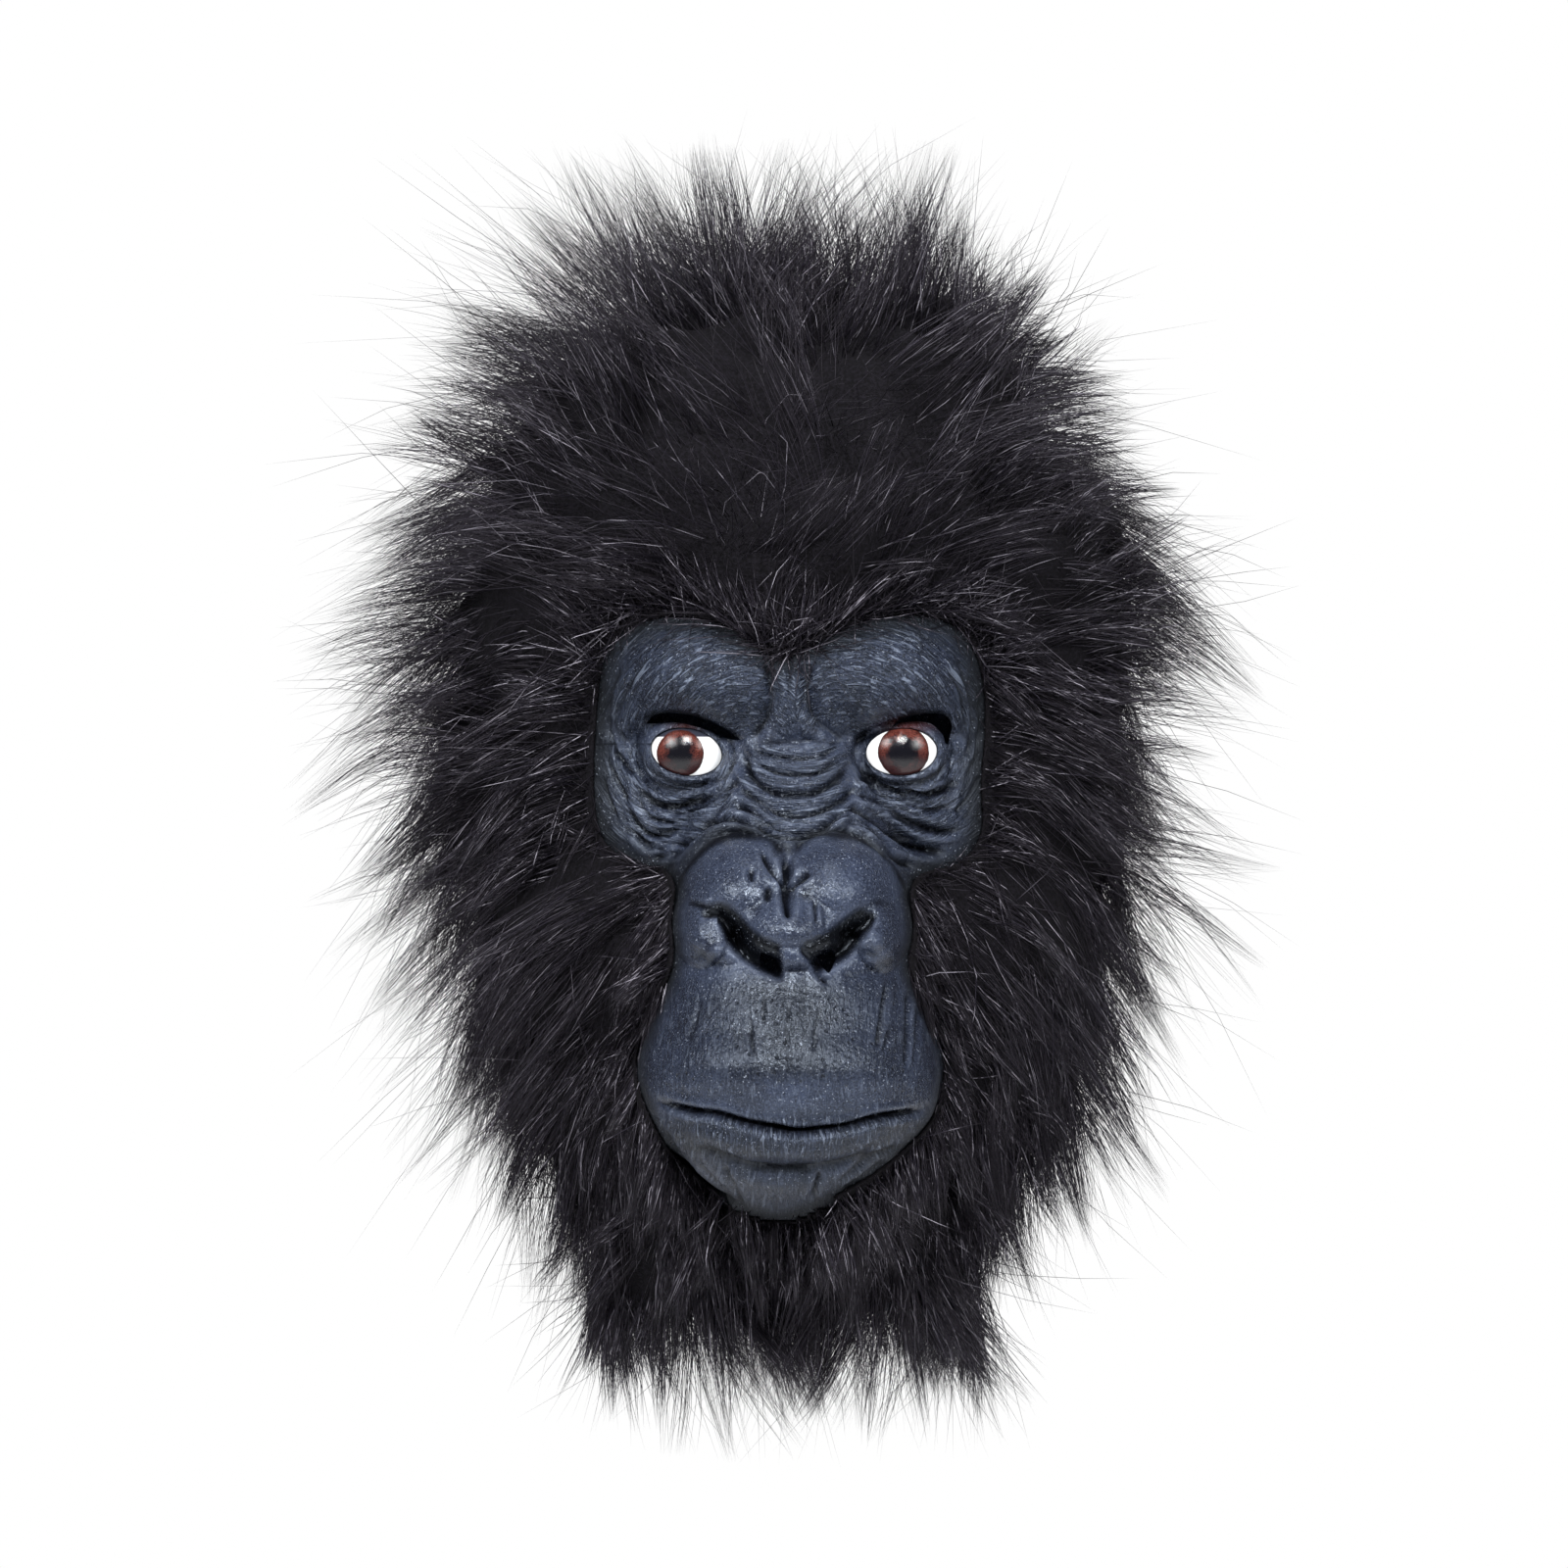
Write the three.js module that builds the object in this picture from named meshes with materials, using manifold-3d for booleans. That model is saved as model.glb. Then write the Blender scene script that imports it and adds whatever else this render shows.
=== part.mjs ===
// A gorilla mask that is worn over the whole head: one rubber casting for face, skull cap and neck, two glossy eyes
// set in its lids, and long pile fur in two pieces, a hood round the face and a collar round the neck.
// Lengths are in millimetres. X is to the right in a front view, the face looks along -Y and Z is up. The origin is
// inside the crown, where the wearer's head carries the mask.
import * as THREE from "three";
import { mergeVertices } from "three/addons/utils/BufferGeometryUtils.js";
import Module from "manifold-3d";

const wasm = await Module();
wasm.setup();

// Rubber head: a skull with a rounded crown that narrows to the neck
const RUBBER_WALL = 2.4;
const HEAD_HEIGHT = 300;
const HEAD_HALF_WIDTH = 88;
const HEAD_FRONT = 100;
const HEAD_BACK = 108;
const CROWN_DROP = 102;
const CROWN_FULLNESS = 2.3;

// Face: its visible height runs from the top of the brow to the chin
const FACE_TOP_DROP = 83;
const FACE_HEIGHT = 183;
const FACE_HALF_WIDTH = 58.5;
const BROW_OUT = 15;
const SOCKET_IN = 9;
const SNOUT_OUT = 55;
const SNOUT_HALF_WIDTH = 47;
const SNOUT_ROOT = 84;
const SNOUT_SQUARENESS = 2.4;
const SNOUT_FILLET = 12;
const NOSE_OUT = 8;
const NOSTRIL_IN = 9;
const LIP_PARTING_IN = 5;
const LIP_PARTING_HALF_HEIGHT = 7;

// Eyes and the slits above them that the wearer looks through
const EYE_DROP = 124.5;
const EYE_SPACING = 66.4;
const EYE_SHIFT = 1.6;
const EYE_HALF_WIDTH = 11.2;
const EYE_HALF_HEIGHT = 7.4;
const EYE_THICKNESS = 3;
const EYE_TILT_LEFT = -0.17;
const EYE_TILT_RIGHT = 0.06;
const LID_RADIUS = 15.5;
const LID_FRONT = 97;
const LID_EDGE = 0.8;
const EYE_CLEARANCE = 0.3;
const SLIT_LENGTH = 28;
const SLIT_HALF_HEIGHT = 1.5;
const SLIT_ABOVE_EYE = 10.4;

// Fur: a dense undercoat on its backing, with locks that stand out of it
const BACKING_CLEARANCE = 0.8;
const HOOD_HALF_WIDTH = 117;
const HOOD_FRONT = 116;
const HOOD_BACK = 136;
const HOOD_TOP = 32;
const HOOD_DROP = 252;
const HOOD_LOCK_LENGTH = 40;
const COLLAR_HALF_WIDTH = 67;
const COLLAR_FRONT = 78;
const COLLAR_BACK = 84;
const COLLAR_TOP_DROP = 253.5;
const COLLAR_LOCK_LENGTH = 40;
const LOCK_HALF_WIDTH = 18;
const LOCK_SPREAD = 0.9;
const LOCK_THICKNESS = 9;
const BACK_HANG = 1.2;
const LOCK_SIDES = 4;
const FUR_CLEARANCE = 1;

// How finely the forms are cut into faces
const FRONT_CENTRE_STEPS = 16;
const FRONT_SIDE_STEPS = 4;
const FRONT_CENTRE_ANGLE = 0.62;
const BACK_STEPS = 8;
const CROWN_STEPS = 5;
const FACE_STEPS = 22;
const CHIN_STEPS = 3;
const NECK_STEPS = 3;
const FUR_STEPS_AROUND = 24;
const EYE_POINTS = 16;

const FACE_TOP = -FACE_TOP_DROP;
const CHIN = FACE_TOP - FACE_HEIGHT;
const RIM = -HEAD_HEIGHT;
const WIDEST = -CROWN_DROP;
const CHIN_UNDERSIDE = 12;
const INNER_REACH = 4;

// Skull sections below the widest level: down is a share of HEAD_HEIGHT, the others are shares of the head's sizes
const SKULL = [
  { down: 0.34, wide: 1.0, front: 1.0, back: 1.0 },
  { down: 0.45, wide: 0.99, front: 0.98, back: 0.98 },
  { down: 0.6, wide: 0.93, front: 0.95, back: 0.9 },
  { down: 0.72, wide: 0.85, front: 0.9, back: 0.8 },
  { down: 0.82, wide: 0.76, front: 0.76, back: 0.7 },
  { down: 0.91, wide: 0.68, front: 0.6, back: 0.62 },
  { down: 1.0, wide: 0.66, front: 0.58, back: 0.6 },
];

// Snout sections: down is a share of FACE_HEIGHT, out of SNOUT_OUT beyond the forehead, wide of SNOUT_HALF_WIDTH
const SNOUT = [
  { down: -0.12, out: -1.8, wide: 0.3 },
  { down: 0.1, out: -0.3, wide: 0.4 },
  { down: 0.23, out: 0.04, wide: 0.47 },
  { down: 0.31, out: 0.18, wide: 0.6 },
  { down: 0.42, out: 0.47, wide: 0.79 },
  { down: 0.53, out: 0.69, wide: 0.83 },
  { down: 0.64, out: 0.85, wide: 0.86 },
  { down: 0.75, out: 0.98, wide: 0.99 },
  { down: 0.81, out: 0.99, wide: 0.98 },
  { down: 0.86, out: 0.93, wide: 0.9 },
  { down: 0.9, out: 0.85, wide: 0.77 },
  { down: 0.94, out: 0.72, wide: 0.6 },
  { down: 0.97, out: 0.55, wide: 0.46 },
  { down: 1.0, out: 0.2, wide: 0.38 },
  { down: 1.03, out: -0.4, wide: 0.45 },
  { down: 1.08, out: -1.2, wide: 0.5 },
];

// Rounded swells and hollows: across, half_across are shares of FACE_HALF_WIDTH, down, half_down of FACE_HEIGHT
const SWELLS = [
  { name: "brow_left", across: -0.56, down: 0.1, half_across: 0.54, half_down: 0.11, out: BROW_OUT },
  { name: "brow_right", across: 0.6, down: 0.1, half_across: 0.54, half_down: 0.11, out: BROW_OUT },
  { name: "brow_middle", across: 0.02, down: 0.09, half_across: 0.45, half_down: 0.13, out: BROW_OUT * 0.6 },
  { name: "socket_left", across: -0.58, down: 0.23, half_across: 0.4, half_down: 0.075, out: -SOCKET_IN },
  { name: "socket_right", across: 0.6, down: 0.23, half_across: 0.4, half_down: 0.075, out: -SOCKET_IN },
];
const NOSE_DOMES = [
  { name: "lobe_left", across: -0.28, down: 0.449, half_across: 0.33, half_down: 0.085 },
  { name: "lobe_right", across: 0.3, down: 0.446, half_across: 0.33, half_down: 0.085 },
  { name: "tip", across: 0.0, down: 0.528, half_across: 0.29, half_down: 0.06 },
  { name: "wing_left", across: -0.46, down: 0.515, half_across: 0.16, half_down: 0.071 },
  { name: "wing_right", across: 0.49, down: 0.52, half_across: 0.155, half_down: 0.074 },
];
const NOSTRILS = [
  { name: "pit_left", across: -0.2, down: 0.545, half_across: 0.2, half_down: 0.045 },
  { name: "pit_right", across: 0.23, down: 0.55, half_across: 0.2, half_down: 0.045 },
];
const LIP_PARTING = { down: 0.83, sag: 0.02 };

// Each slit's middle line: along and above are shares of SLIT_LENGTH, open of SLIT_HALF_HEIGHT. along runs outwards
const SLITS = {
  left: [
    { along: -0.5, above: -0.18, open: 0.3 },
    { along: -0.3, above: -0.1, open: 0.8 },
    { along: -0.1, above: -0.01, open: 1.0 },
    { along: 0.12, above: 0.04, open: 1.0 },
    { along: 0.32, above: 0.03, open: 1.0 },
    { along: 0.48, above: -0.03, open: 0.6 },
  ],
  right: [
    { along: -0.1, above: -0.08, open: 0.4 },
    { along: 0.04, above: -0.01, open: 0.7 },
    { along: 0.2, above: 0.02, open: 0.9 },
    { along: 0.36, above: 0.02, open: 1.0 },
    { along: 0.47, above: -0.04, open: 1.1 },
    { along: 0.53, above: -0.13, open: 0.9 },
    { along: 0.53, above: -0.24, open: 0.4 },
  ],
};

// The fur's face opening, from the middle of the brow round by the right: shares of FACE_HALF_WIDTH and FACE_HEIGHT
const OPENING = [
  { across: 0.0, down: 0.08 },
  { across: 0.28, down: 0.04 },
  { across: 0.62, down: 0.0 },
  { across: 0.9, down: 0.05 },
  { across: 1.0, down: 0.17 },
  { across: 1.01, down: 0.3 },
  { across: 0.93, down: 0.4 },
  { across: 0.68, down: 0.46 },
  { across: 0.63, down: 0.54 },
  { across: 0.7, down: 0.63 },
  { across: 0.82, down: 0.76 },
  { across: 0.77, down: 0.84 },
  { across: 0.6, down: 0.91 },
  { across: 0.46, down: 1.0 },
  { across: 0.4, down: 1.2 },
  { across: -0.4, down: 1.2 },
  { across: -0.46, down: 1.0 },
  { across: -0.6, down: 0.91 },
  { across: -0.77, down: 0.84 },
  { across: -0.82, down: 0.76 },
  { across: -0.7, down: 0.63 },
  { across: -0.63, down: 0.54 },
  { across: -0.68, down: 0.44 },
  { across: -0.96, down: 0.37 },
  { across: -1.02, down: 0.2 },
  { across: -0.93, down: 0.06 },
  { across: -0.62, down: 0.0 },
  { across: -0.28, down: 0.04 },
];

// Undercoat sections of the hood: down is a share of the height from HOOD_TOP to HOOD_DROP, the others of its sizes
const HOOD = [
  { down: 0.02, wide: 0.3, front: 0.3, back: 0.3 },
  { down: 0.07, wide: 0.55, front: 0.57, back: 0.55 },
  { down: 0.16, wide: 0.75, front: 0.82, back: 0.77 },
  { down: 0.27, wide: 0.88, front: 0.96, back: 0.9 },
  { down: 0.38, wide: 0.95, front: 1.0, back: 0.97 },
  { down: 0.48, wide: 1.0, front: 0.97, back: 1.0 },
  { down: 0.58, wide: 1.0, front: 0.91, back: 1.0 },
  { down: 0.69, wide: 0.94, front: 0.88, back: 0.95 },
  { down: 0.8, wide: 0.86, front: 0.85, back: 0.88 },
  { down: 0.91, wide: 0.77, front: 0.78, back: 0.8 },
  { down: 1.0, wide: 0.71, front: 0.72, back: 0.73 },
];
const COLLAR = [
  { down: 0.0, wide: 0.95, front: 0.98, back: 0.95 },
  { down: 0.35, wide: 0.99, front: 1.0, back: 1.0 },
  { down: 0.7, wide: 1.0, front: 0.97, back: 1.0 },
  { down: 1.0, wide: 0.97, front: 0.9, back: 0.95 },
];

// Rows of locks: count is the number all round, long a share of the lock length, hang how far the lock turns down
const HOOD_LOCKS = [
  { down: 0.03, count: 5, long: 0.8, hang: 0.0 },
  { down: 0.12, count: 9, long: 0.85, hang: 0.0 },
  { down: 0.23, count: 12, long: 0.85, hang: 0.1 },
  { down: 0.34, count: 14, long: 0.9, hang: 0.2 },
  { down: 0.45, count: 15, long: 0.9, hang: 0.35 },
  { down: 0.55, count: 15, long: 1.0, hang: 0.5 },
  { down: 0.66, count: 15, long: 1.0, hang: 0.8 },
  { down: 0.77, count: 14, long: 1.0, hang: 1.1 },
  { down: 0.88, count: 13, long: 1.1, hang: 1.6 },
  { down: 0.96, count: 12, long: 1.3, hang: 2.2 },
];
const COLLAR_LOCKS = [
  { down: 0.4, count: 10, long: 0.9, hang: 4 },
  { down: 0.85, count: 12, long: 0.95, hang: 6 },
];

// A smooth line through a table's rows at a place in its first column: Hermite curves, level beyond both ends.
function readTable(table, key, place) {
  const last = table.length - 1;
  if (place <= table[0].down) return table[0][key];
  if (place >= table[last].down) return table[last][key];
  const i = table.findIndex((row) => row.down > place) - 1;
  const slope = (k) => {
    const [a, b] = [table[Math.max(k - 1, 0)], table[Math.min(k + 1, last)]];
    return (b[key] - a[key]) / (b.down - a.down);
  };
  const [from, to] = [table[i], table[i + 1]];
  const gap = to.down - from.down;
  const t = (place - from.down) / gap;
  const rise = t * t * (3 - 2 * t);
  const bend = gap * (slope(i) * t * (1 - t) ** 2 - slope(i + 1) * t * t * (1 - t));
  return from[key] + (to[key] - from[key]) * rise + bend;
}

// The larger of two depths, with a fillet where they cross
function smoothMax(a, b, fillet) {
  const near = Math.max(fillet - Math.abs(a - b), 0) / fillet;
  return Math.max(a, b) + (near * near * fillet) / 4;
}

function smoothStep(from, to, value) {
  const t = THREE.MathUtils.clamp((value - from) / (to - from), 0, 1);
  return t * t * (3 - 2 * t);
}

// Half width, front and back of the skull's outside at a height
function skullSection(z) {
  if (z > WIDEST) {
    const rise = Math.min((z - WIDEST) / (CROWN_DROP + RUBBER_WALL), 1);
    const share = (1 - rise ** CROWN_FULLNESS) ** (1 / CROWN_FULLNESS);
    return { wide: HEAD_HALF_WIDTH * share, front: HEAD_FRONT * share, back: HEAD_BACK * share };
  }
  const down = -z / HEAD_HEIGHT;
  return {
    wide: HEAD_HALF_WIDTH * readTable(SKULL, "wide", down),
    front: HEAD_FRONT * readTable(SKULL, "front", down),
    back: HEAD_BACK * readTable(SKULL, "back", down),
  };
}

function snoutDepth(x, z) {
  const down = (FACE_TOP - z) / FACE_HEIGHT;
  const reach = HEAD_FRONT + SNOUT_OUT * readTable(SNOUT, "out", down);
  const half = SNOUT_HALF_WIDTH * readTable(SNOUT, "wide", down);
  const side = Math.abs(x) / half;
  if (side >= 1) return Math.min(reach, SNOUT_ROOT) - 2 * (Math.abs(x) - half);
  if (reach < SNOUT_ROOT) return reach;
  const share = (1 - side ** SNOUT_SQUARENESS) ** (1 / SNOUT_SQUARENESS);
  return SNOUT_ROOT + (reach - SNOUT_ROOT) * share;
}

// From 1 at a swell's middle to 0 at its edge; a high power is soft at the edge, a low one crisp
function swellShare(swell, x, z, power) {
  const dx = (x / FACE_HALF_WIDTH - swell.across) / swell.half_across;
  const dz = ((FACE_TOP - z) / FACE_HEIGHT - swell.down) / swell.half_down;
  return Math.max(1 - dx * dx - dz * dz, 0) ** power;
}

function eyeMiddle(side) {
  return new THREE.Vector3(EYE_SHIFT + (side * EYE_SPACING) / 2, LID_RADIUS - LID_FRONT, -EYE_DROP);
}

// How far the rubber's outside stands in front of the head's axis
function faceDepth(x, z) {
  const skull = skullSection(z);
  const side = Math.min(Math.abs(x) / Math.max(skull.wide, 1), 1);
  let depth = smoothMax(skull.front * Math.sqrt(1 - side * side), snoutDepth(x, z), SNOUT_FILLET);
  for (const swell of SWELLS) depth += swell.out * swellShare(swell, x, z, 1.5);
  depth += NOSE_OUT * Math.max(...NOSE_DOMES.map((dome) => swellShare(dome, x, z, 0.6)));
  depth -= NOSTRIL_IN * Math.max(...NOSTRILS.map((pit) => swellShare(pit, x, z, 1)));
  for (const way of [-1, 1]) {
    const eye = eyeMiddle(way);
    const off = LID_RADIUS ** 2 - (x - eye.x) ** 2 - (z - eye.z) ** 2;
    if (off > 0) depth = smoothMax(depth, Math.sqrt(off) - eye.y, 2);
  }
  const parting = FACE_TOP - FACE_HEIGHT * (LIP_PARTING.down + LIP_PARTING.sag * (1 - (x / SNOUT_HALF_WIDTH) ** 2));
  const lips = Math.max(1 - ((z - parting) / LIP_PARTING_HALF_HEIGHT) ** 2, 0);
  return depth - LIP_PARTING_IN * lips ** 1.5 * (1 - smoothStep(0.8, 1, Math.abs(x) / SNOUT_HALF_WIDTH));
}

// The least depth close by, so that the wall keeps its thickness behind hollows and on steep sides
function innerDepth(x, z) {
  const reach = INNER_REACH * (1 - smoothStep(0.85, 1.05, Math.abs(x) / FACE_HALF_WIDTH));
  const steps = [-1, 0, 1];
  return Math.min(...steps.flatMap((i) => steps.map((k) => faceDepth(x + i * reach, z + k * reach))));
}

// Angles round the head from the left ear over the face, then round the back: [angle, true in front]
function anglesAround(stride) {
  const quarter = Math.PI / 2;
  const front = [];
  for (let i = 0; i < FRONT_SIDE_STEPS; i += stride)
    front.push(-quarter + ((quarter - FRONT_CENTRE_ANGLE) * i) / FRONT_SIDE_STEPS);
  for (let i = 0; i <= FRONT_CENTRE_STEPS; i += stride)
    front.push(-FRONT_CENTRE_ANGLE + (2 * FRONT_CENTRE_ANGLE * i) / FRONT_CENTRE_STEPS);
  for (let i = FRONT_SIDE_STEPS - 1; i > 0; i -= stride)
    front.push(quarter - ((quarter - FRONT_CENTRE_ANGLE) * i) / FRONT_SIDE_STEPS);
  const back = Array.from({ length: BACK_STEPS }, (_, i) => quarter - (Math.PI * i) / BACK_STEPS);
  return [...front.map((a) => [a, true]), ...back.map((a) => [a, false])];
}

// Heights of the rings, from the crown down to the rim
function ringHeights(stride, inset) {
  const heights = [];
  const rise = CROWN_DROP + RUBBER_WALL - inset;
  const browShare = (WIDEST - FACE_TOP) / -rise;
  for (let i = 1; i <= CROWN_STEPS; i++) {
    const angle = (Math.PI / 2) * (1 - i / (CROWN_STEPS + 1));
    const share = Math.sin(angle) ** (2 / CROWN_FULLNESS);
    if (share > browShare) heights.push(WIDEST + rise * share);
  }
  for (let i = 0; i <= FACE_STEPS; i += stride) heights.push(FACE_TOP - (FACE_HEIGHT * i) / FACE_STEPS);
  for (let i = 1; i <= CHIN_STEPS; i++) heights.push(CHIN - (CHIN_UNDERSIDE * i) / CHIN_STEPS);
  const neck = RIM - (CHIN - CHIN_UNDERSIDE);
  for (let i = 1; i <= NECK_STEPS; i++) heights.push(CHIN - CHIN_UNDERSIDE + (neck * i) / NECK_STEPS);
  return heights;
}

// One closed body through rings of points, each end closed to a point
function loft(rings, start, end) {
  const count = rings[0].length;
  const points = [start, ...rings.flat(), end];
  const index = [];
  const at = (ring, i) => 1 + ring * count + (i % count);
  for (let i = 0; i < count; i++) {
    index.push(0, at(0, i), at(0, i + 1));
    for (let r = 0; r < rings.length - 1; r++) {
      index.push(at(r, i), at(r + 1, i), at(r + 1, i + 1));
      index.push(at(r, i), at(r + 1, i + 1), at(r, i + 1));
    }
    index.push(at(rings.length - 1, i), points.length - 1, at(rings.length - 1, i + 1));
  }
  return new THREE.BufferGeometry().setFromPoints(points).setIndex(index);
}

function toSolid(geometry) {
  const bare = geometry.clone();
  bare.deleteAttribute("normal");
  bare.deleteAttribute("uv");
  const merged = mergeVertices(bare, 1e-4);
  return new wasm.Manifold(
    new wasm.Mesh({
      numProp: 3,
      vertProperties: new Float32Array(merged.attributes.position.array),
      triVerts: new Uint32Array(merged.index.array),
    }),
  );
}

function toGeometry(solid) {
  const mesh = solid.getMesh();
  const points = new Float32Array(mesh.numVert * 3);
  for (let i = 0; i < mesh.numVert; i++)
    points.set(mesh.vertProperties.subarray(i * mesh.numProp, i * mesh.numProp + 3), i * 3);
  const geometry = new THREE.BufferGeometry();
  geometry.setAttribute("position", new THREE.BufferAttribute(points, 3));
  geometry.setIndex(new THREE.BufferAttribute(new Uint32Array(mesh.triVerts), 1));
  geometry.computeVertexNormals();
  return geometry;
}

// The largest body of a solid: the snippets that a trim cuts off fall away
function trimmed(solid) {
  return solid.decompose().reduce((best, body) => (body.volume() > best.volume() ? body : best));
}

// The head's rings at an inset from its outside, one column of points every stride columns
function headRings(inset, stride, deepen) {
  return ringHeights(stride, inset).map((z) => {
    const outside = z > WIDEST ? WIDEST + ((z - WIDEST) * (CROWN_DROP + RUBBER_WALL)) / (CROWN_DROP + RUBBER_WALL - inset) : z;
    const skull = skullSection(outside);
    return anglesAround(stride).map(([angle, front]) => {
      const x = (skull.wide - inset) * Math.sin(angle);
      if (!front) return new THREE.Vector3(x, (skull.back - inset) * Math.cos(angle), z);
      const depth = deepen(skull.wide * Math.sin(angle), outside);
      return new THREE.Vector3(x, -depth * (1 - inset / skull.front), z);
    });
  });
}

// A closed head form, its open end carried on below the rim by a length
function headForm(inset, stride, deepen, below) {
  const rings = headRings(inset, stride, deepen);
  const rim = rings[rings.length - 1].map((point) => new THREE.Vector3(point.x, point.y, RIM - below));
  if (below > 0) rings.push(rim);
  const crown = new THREE.Vector3(0, 0, RUBBER_WALL - inset);
  return loft(rings, crown, new THREE.Vector3(0, 0, RIM - below));
}

// The head form moved outwards along its normals, which cuts the room that another piece leaves for it
function grownHead(clearance, below) {
  const geometry = headForm(0, 1, faceDepth, below);
  geometry.computeVertexNormals();
  const { position, normal } = geometry.attributes;
  for (let i = 0; i < position.count; i++) {
    const out = new THREE.Vector3().fromBufferAttribute(normal, i).multiplyScalar(clearance);
    position.setXYZ(i, position.getX(i) + out.x, position.getY(i) + out.y, position.getZ(i) + out.z);
  }
  return toSolid(geometry);
}

// A prism along Y of an outline drawn in the front view, from one depth to another
function prismAlongY(outline, near, far) {
  const shape = new THREE.Shape(THREE.ShapeUtils.isClockWise(outline) ? outline.reverse() : outline);
  const geometry = new THREE.ExtrudeGeometry(shape, { depth: near - far, bevelEnabled: false });
  geometry.rotateX(Math.PI / 2);
  geometry.translate(0, -far, 0);
  return toSolid(geometry);
}

function eyeOutline(side, inset) {
  const middle = eyeMiddle(side);
  const tilt = side < 0 ? EYE_TILT_LEFT : EYE_TILT_RIGHT;
  return Array.from({ length: EYE_POINTS }, (_, i) => {
    const turn = (2 * Math.PI * i) / EYE_POINTS;
    const point = new THREE.Vector2(Math.cos(turn) * (EYE_HALF_WIDTH - inset), Math.sin(turn) * (EYE_HALF_HEIGHT - inset));
    return point.rotateAround(new THREE.Vector2(), tilt).add(new THREE.Vector2(middle.x, middle.z));
  });
}

function slitOutline(side, rows) {
  const eye = eyeMiddle(side);
  const line = rows.map(
    (row) => new THREE.Vector2(eye.x + side * SLIT_LENGTH * row.along, eye.z + SLIT_ABOVE_EYE + SLIT_LENGTH * row.above),
  );
  const edge = (way) =>
    line.map((point, i) => {
      const along = line[Math.min(i + 1, line.length - 1)].clone().sub(line[Math.max(i - 1, 0)]).normalize();
      const reach = way * SLIT_HALF_HEIGHT * rows[i].open;
      return new THREE.Vector2(point.x - along.y * reach, point.y + along.x * reach);
    });
  return [...edge(1), ...edge(-1).reverse()];
}

function rubberHead() {
  const outside = toSolid(headForm(0, 1, faceDepth, 0));
  const hollow = toSolid(headForm(RUBBER_WALL, 2, innerDepth, RUBBER_WALL));
  let solid = outside.subtract(hollow);
  const [near, far] = [HEAD_FRONT + SNOUT_OUT, HEAD_FRONT * 0.6];
  for (const [side, rows] of [[-1, SLITS.left], [1, SLITS.right]]) {
    solid = solid.subtract(prismAlongY(eyeOutline(side, 0), near, far));
    solid = solid.subtract(prismAlongY(slitOutline(side, rows), near, far));
  }
  return trimmed(solid);
}

// A domed shell that fills the lids' opening, a little behind their edge
function eye(side) {
  const middle = eyeMiddle(side);
  const ball = (radius, detail) =>
    toSolid(new THREE.SphereGeometry(radius, detail, detail * 0.6).translate(middle.x, middle.y, middle.z));
  const opening = prismAlongY(eyeOutline(side, EYE_CLEARANCE), HEAD_FRONT + SNOUT_OUT, -middle.y);
  const radius = LID_RADIUS - LID_EDGE;
  return trimmed(ball(radius, 24).subtract(ball(radius - EYE_THICKNESS, 12)).intersect(opening));
}

// A point on an undercoat's outside: its size, its table, its top and its height
function furPoint(fur, down, angle) {
  const wide = fur.wide * readTable(fur.table, "wide", down);
  const deep = Math.cos(angle) > 0 ? fur.front * readTable(fur.table, "front", down) : fur.back * readTable(fur.table, "back", down);
  return new THREE.Vector3(wide * Math.sin(angle), -deep * Math.cos(angle), fur.top - fur.height * down);
}

function undercoat(fur) {
  const rings = fur.table.map((row) =>
    Array.from({ length: FUR_STEPS_AROUND }, (_, i) => furPoint(fur, row.down, (2 * Math.PI * i) / FUR_STEPS_AROUND - Math.PI)),
  );
  return toSolid(loft(rings, new THREE.Vector3(0, 0, fur.top), new THREE.Vector3(0, 0, fur.top - fur.height)));
}

// One lock: a flat tapered tuft that leaves the undercoat outwards, away from the face, and turns down along its length
function lock(fur, row, angle) {
  const root = furPoint(fur, row.down, angle);
  const spread = root.clone().sub(new THREE.Vector3(0, -HEAD_FRONT, fur.middle)).normalize();
  const away = root.clone().sub(new THREE.Vector3(0, 0, fur.middle)).normalize().addScaledVector(spread, LOCK_SPREAD);
  away.normalize();
  const heavy = new THREE.Vector3(0, 0, -row.hang - BACK_HANG * Math.max(-Math.cos(angle), 0));
  const length = fur.lockLength * row.long;
  const first = away.clone().addScaledVector(heavy, 0.35).normalize();
  const second = away.clone().add(heavy).normalize();
  const start = root.clone().addScaledVector(first, -LOCK_THICKNESS * 1.3);
  const bend = root.clone().addScaledVector(first, length * 0.4);
  const tip = bend.clone().addScaledVector(second, length * 0.6);
  const across = new THREE.Vector3(-away.y, away.x, 0).normalize();
  const ring = (centre, along, share) => {
    const up = new THREE.Vector3().crossVectors(along, across).normalize();
    return Array.from({ length: LOCK_SIDES }, (_, i) => {
      const turn = (2 * Math.PI * i) / LOCK_SIDES;
      const point = centre.clone().addScaledVector(across, share * LOCK_HALF_WIDTH * Math.cos(turn));
      return point.addScaledVector(up, -share * LOCK_THICKNESS * Math.sin(turn));
    });
  };
  return toSolid(loft([ring(start, first, 1), ring(bend, second, 0.7)], start, tip));
}

function openingOutline() {
  return OPENING.map((row) => new THREE.Vector2(row.across * FACE_HALF_WIDTH, FACE_TOP - row.down * FACE_HEIGHT));
}

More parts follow.
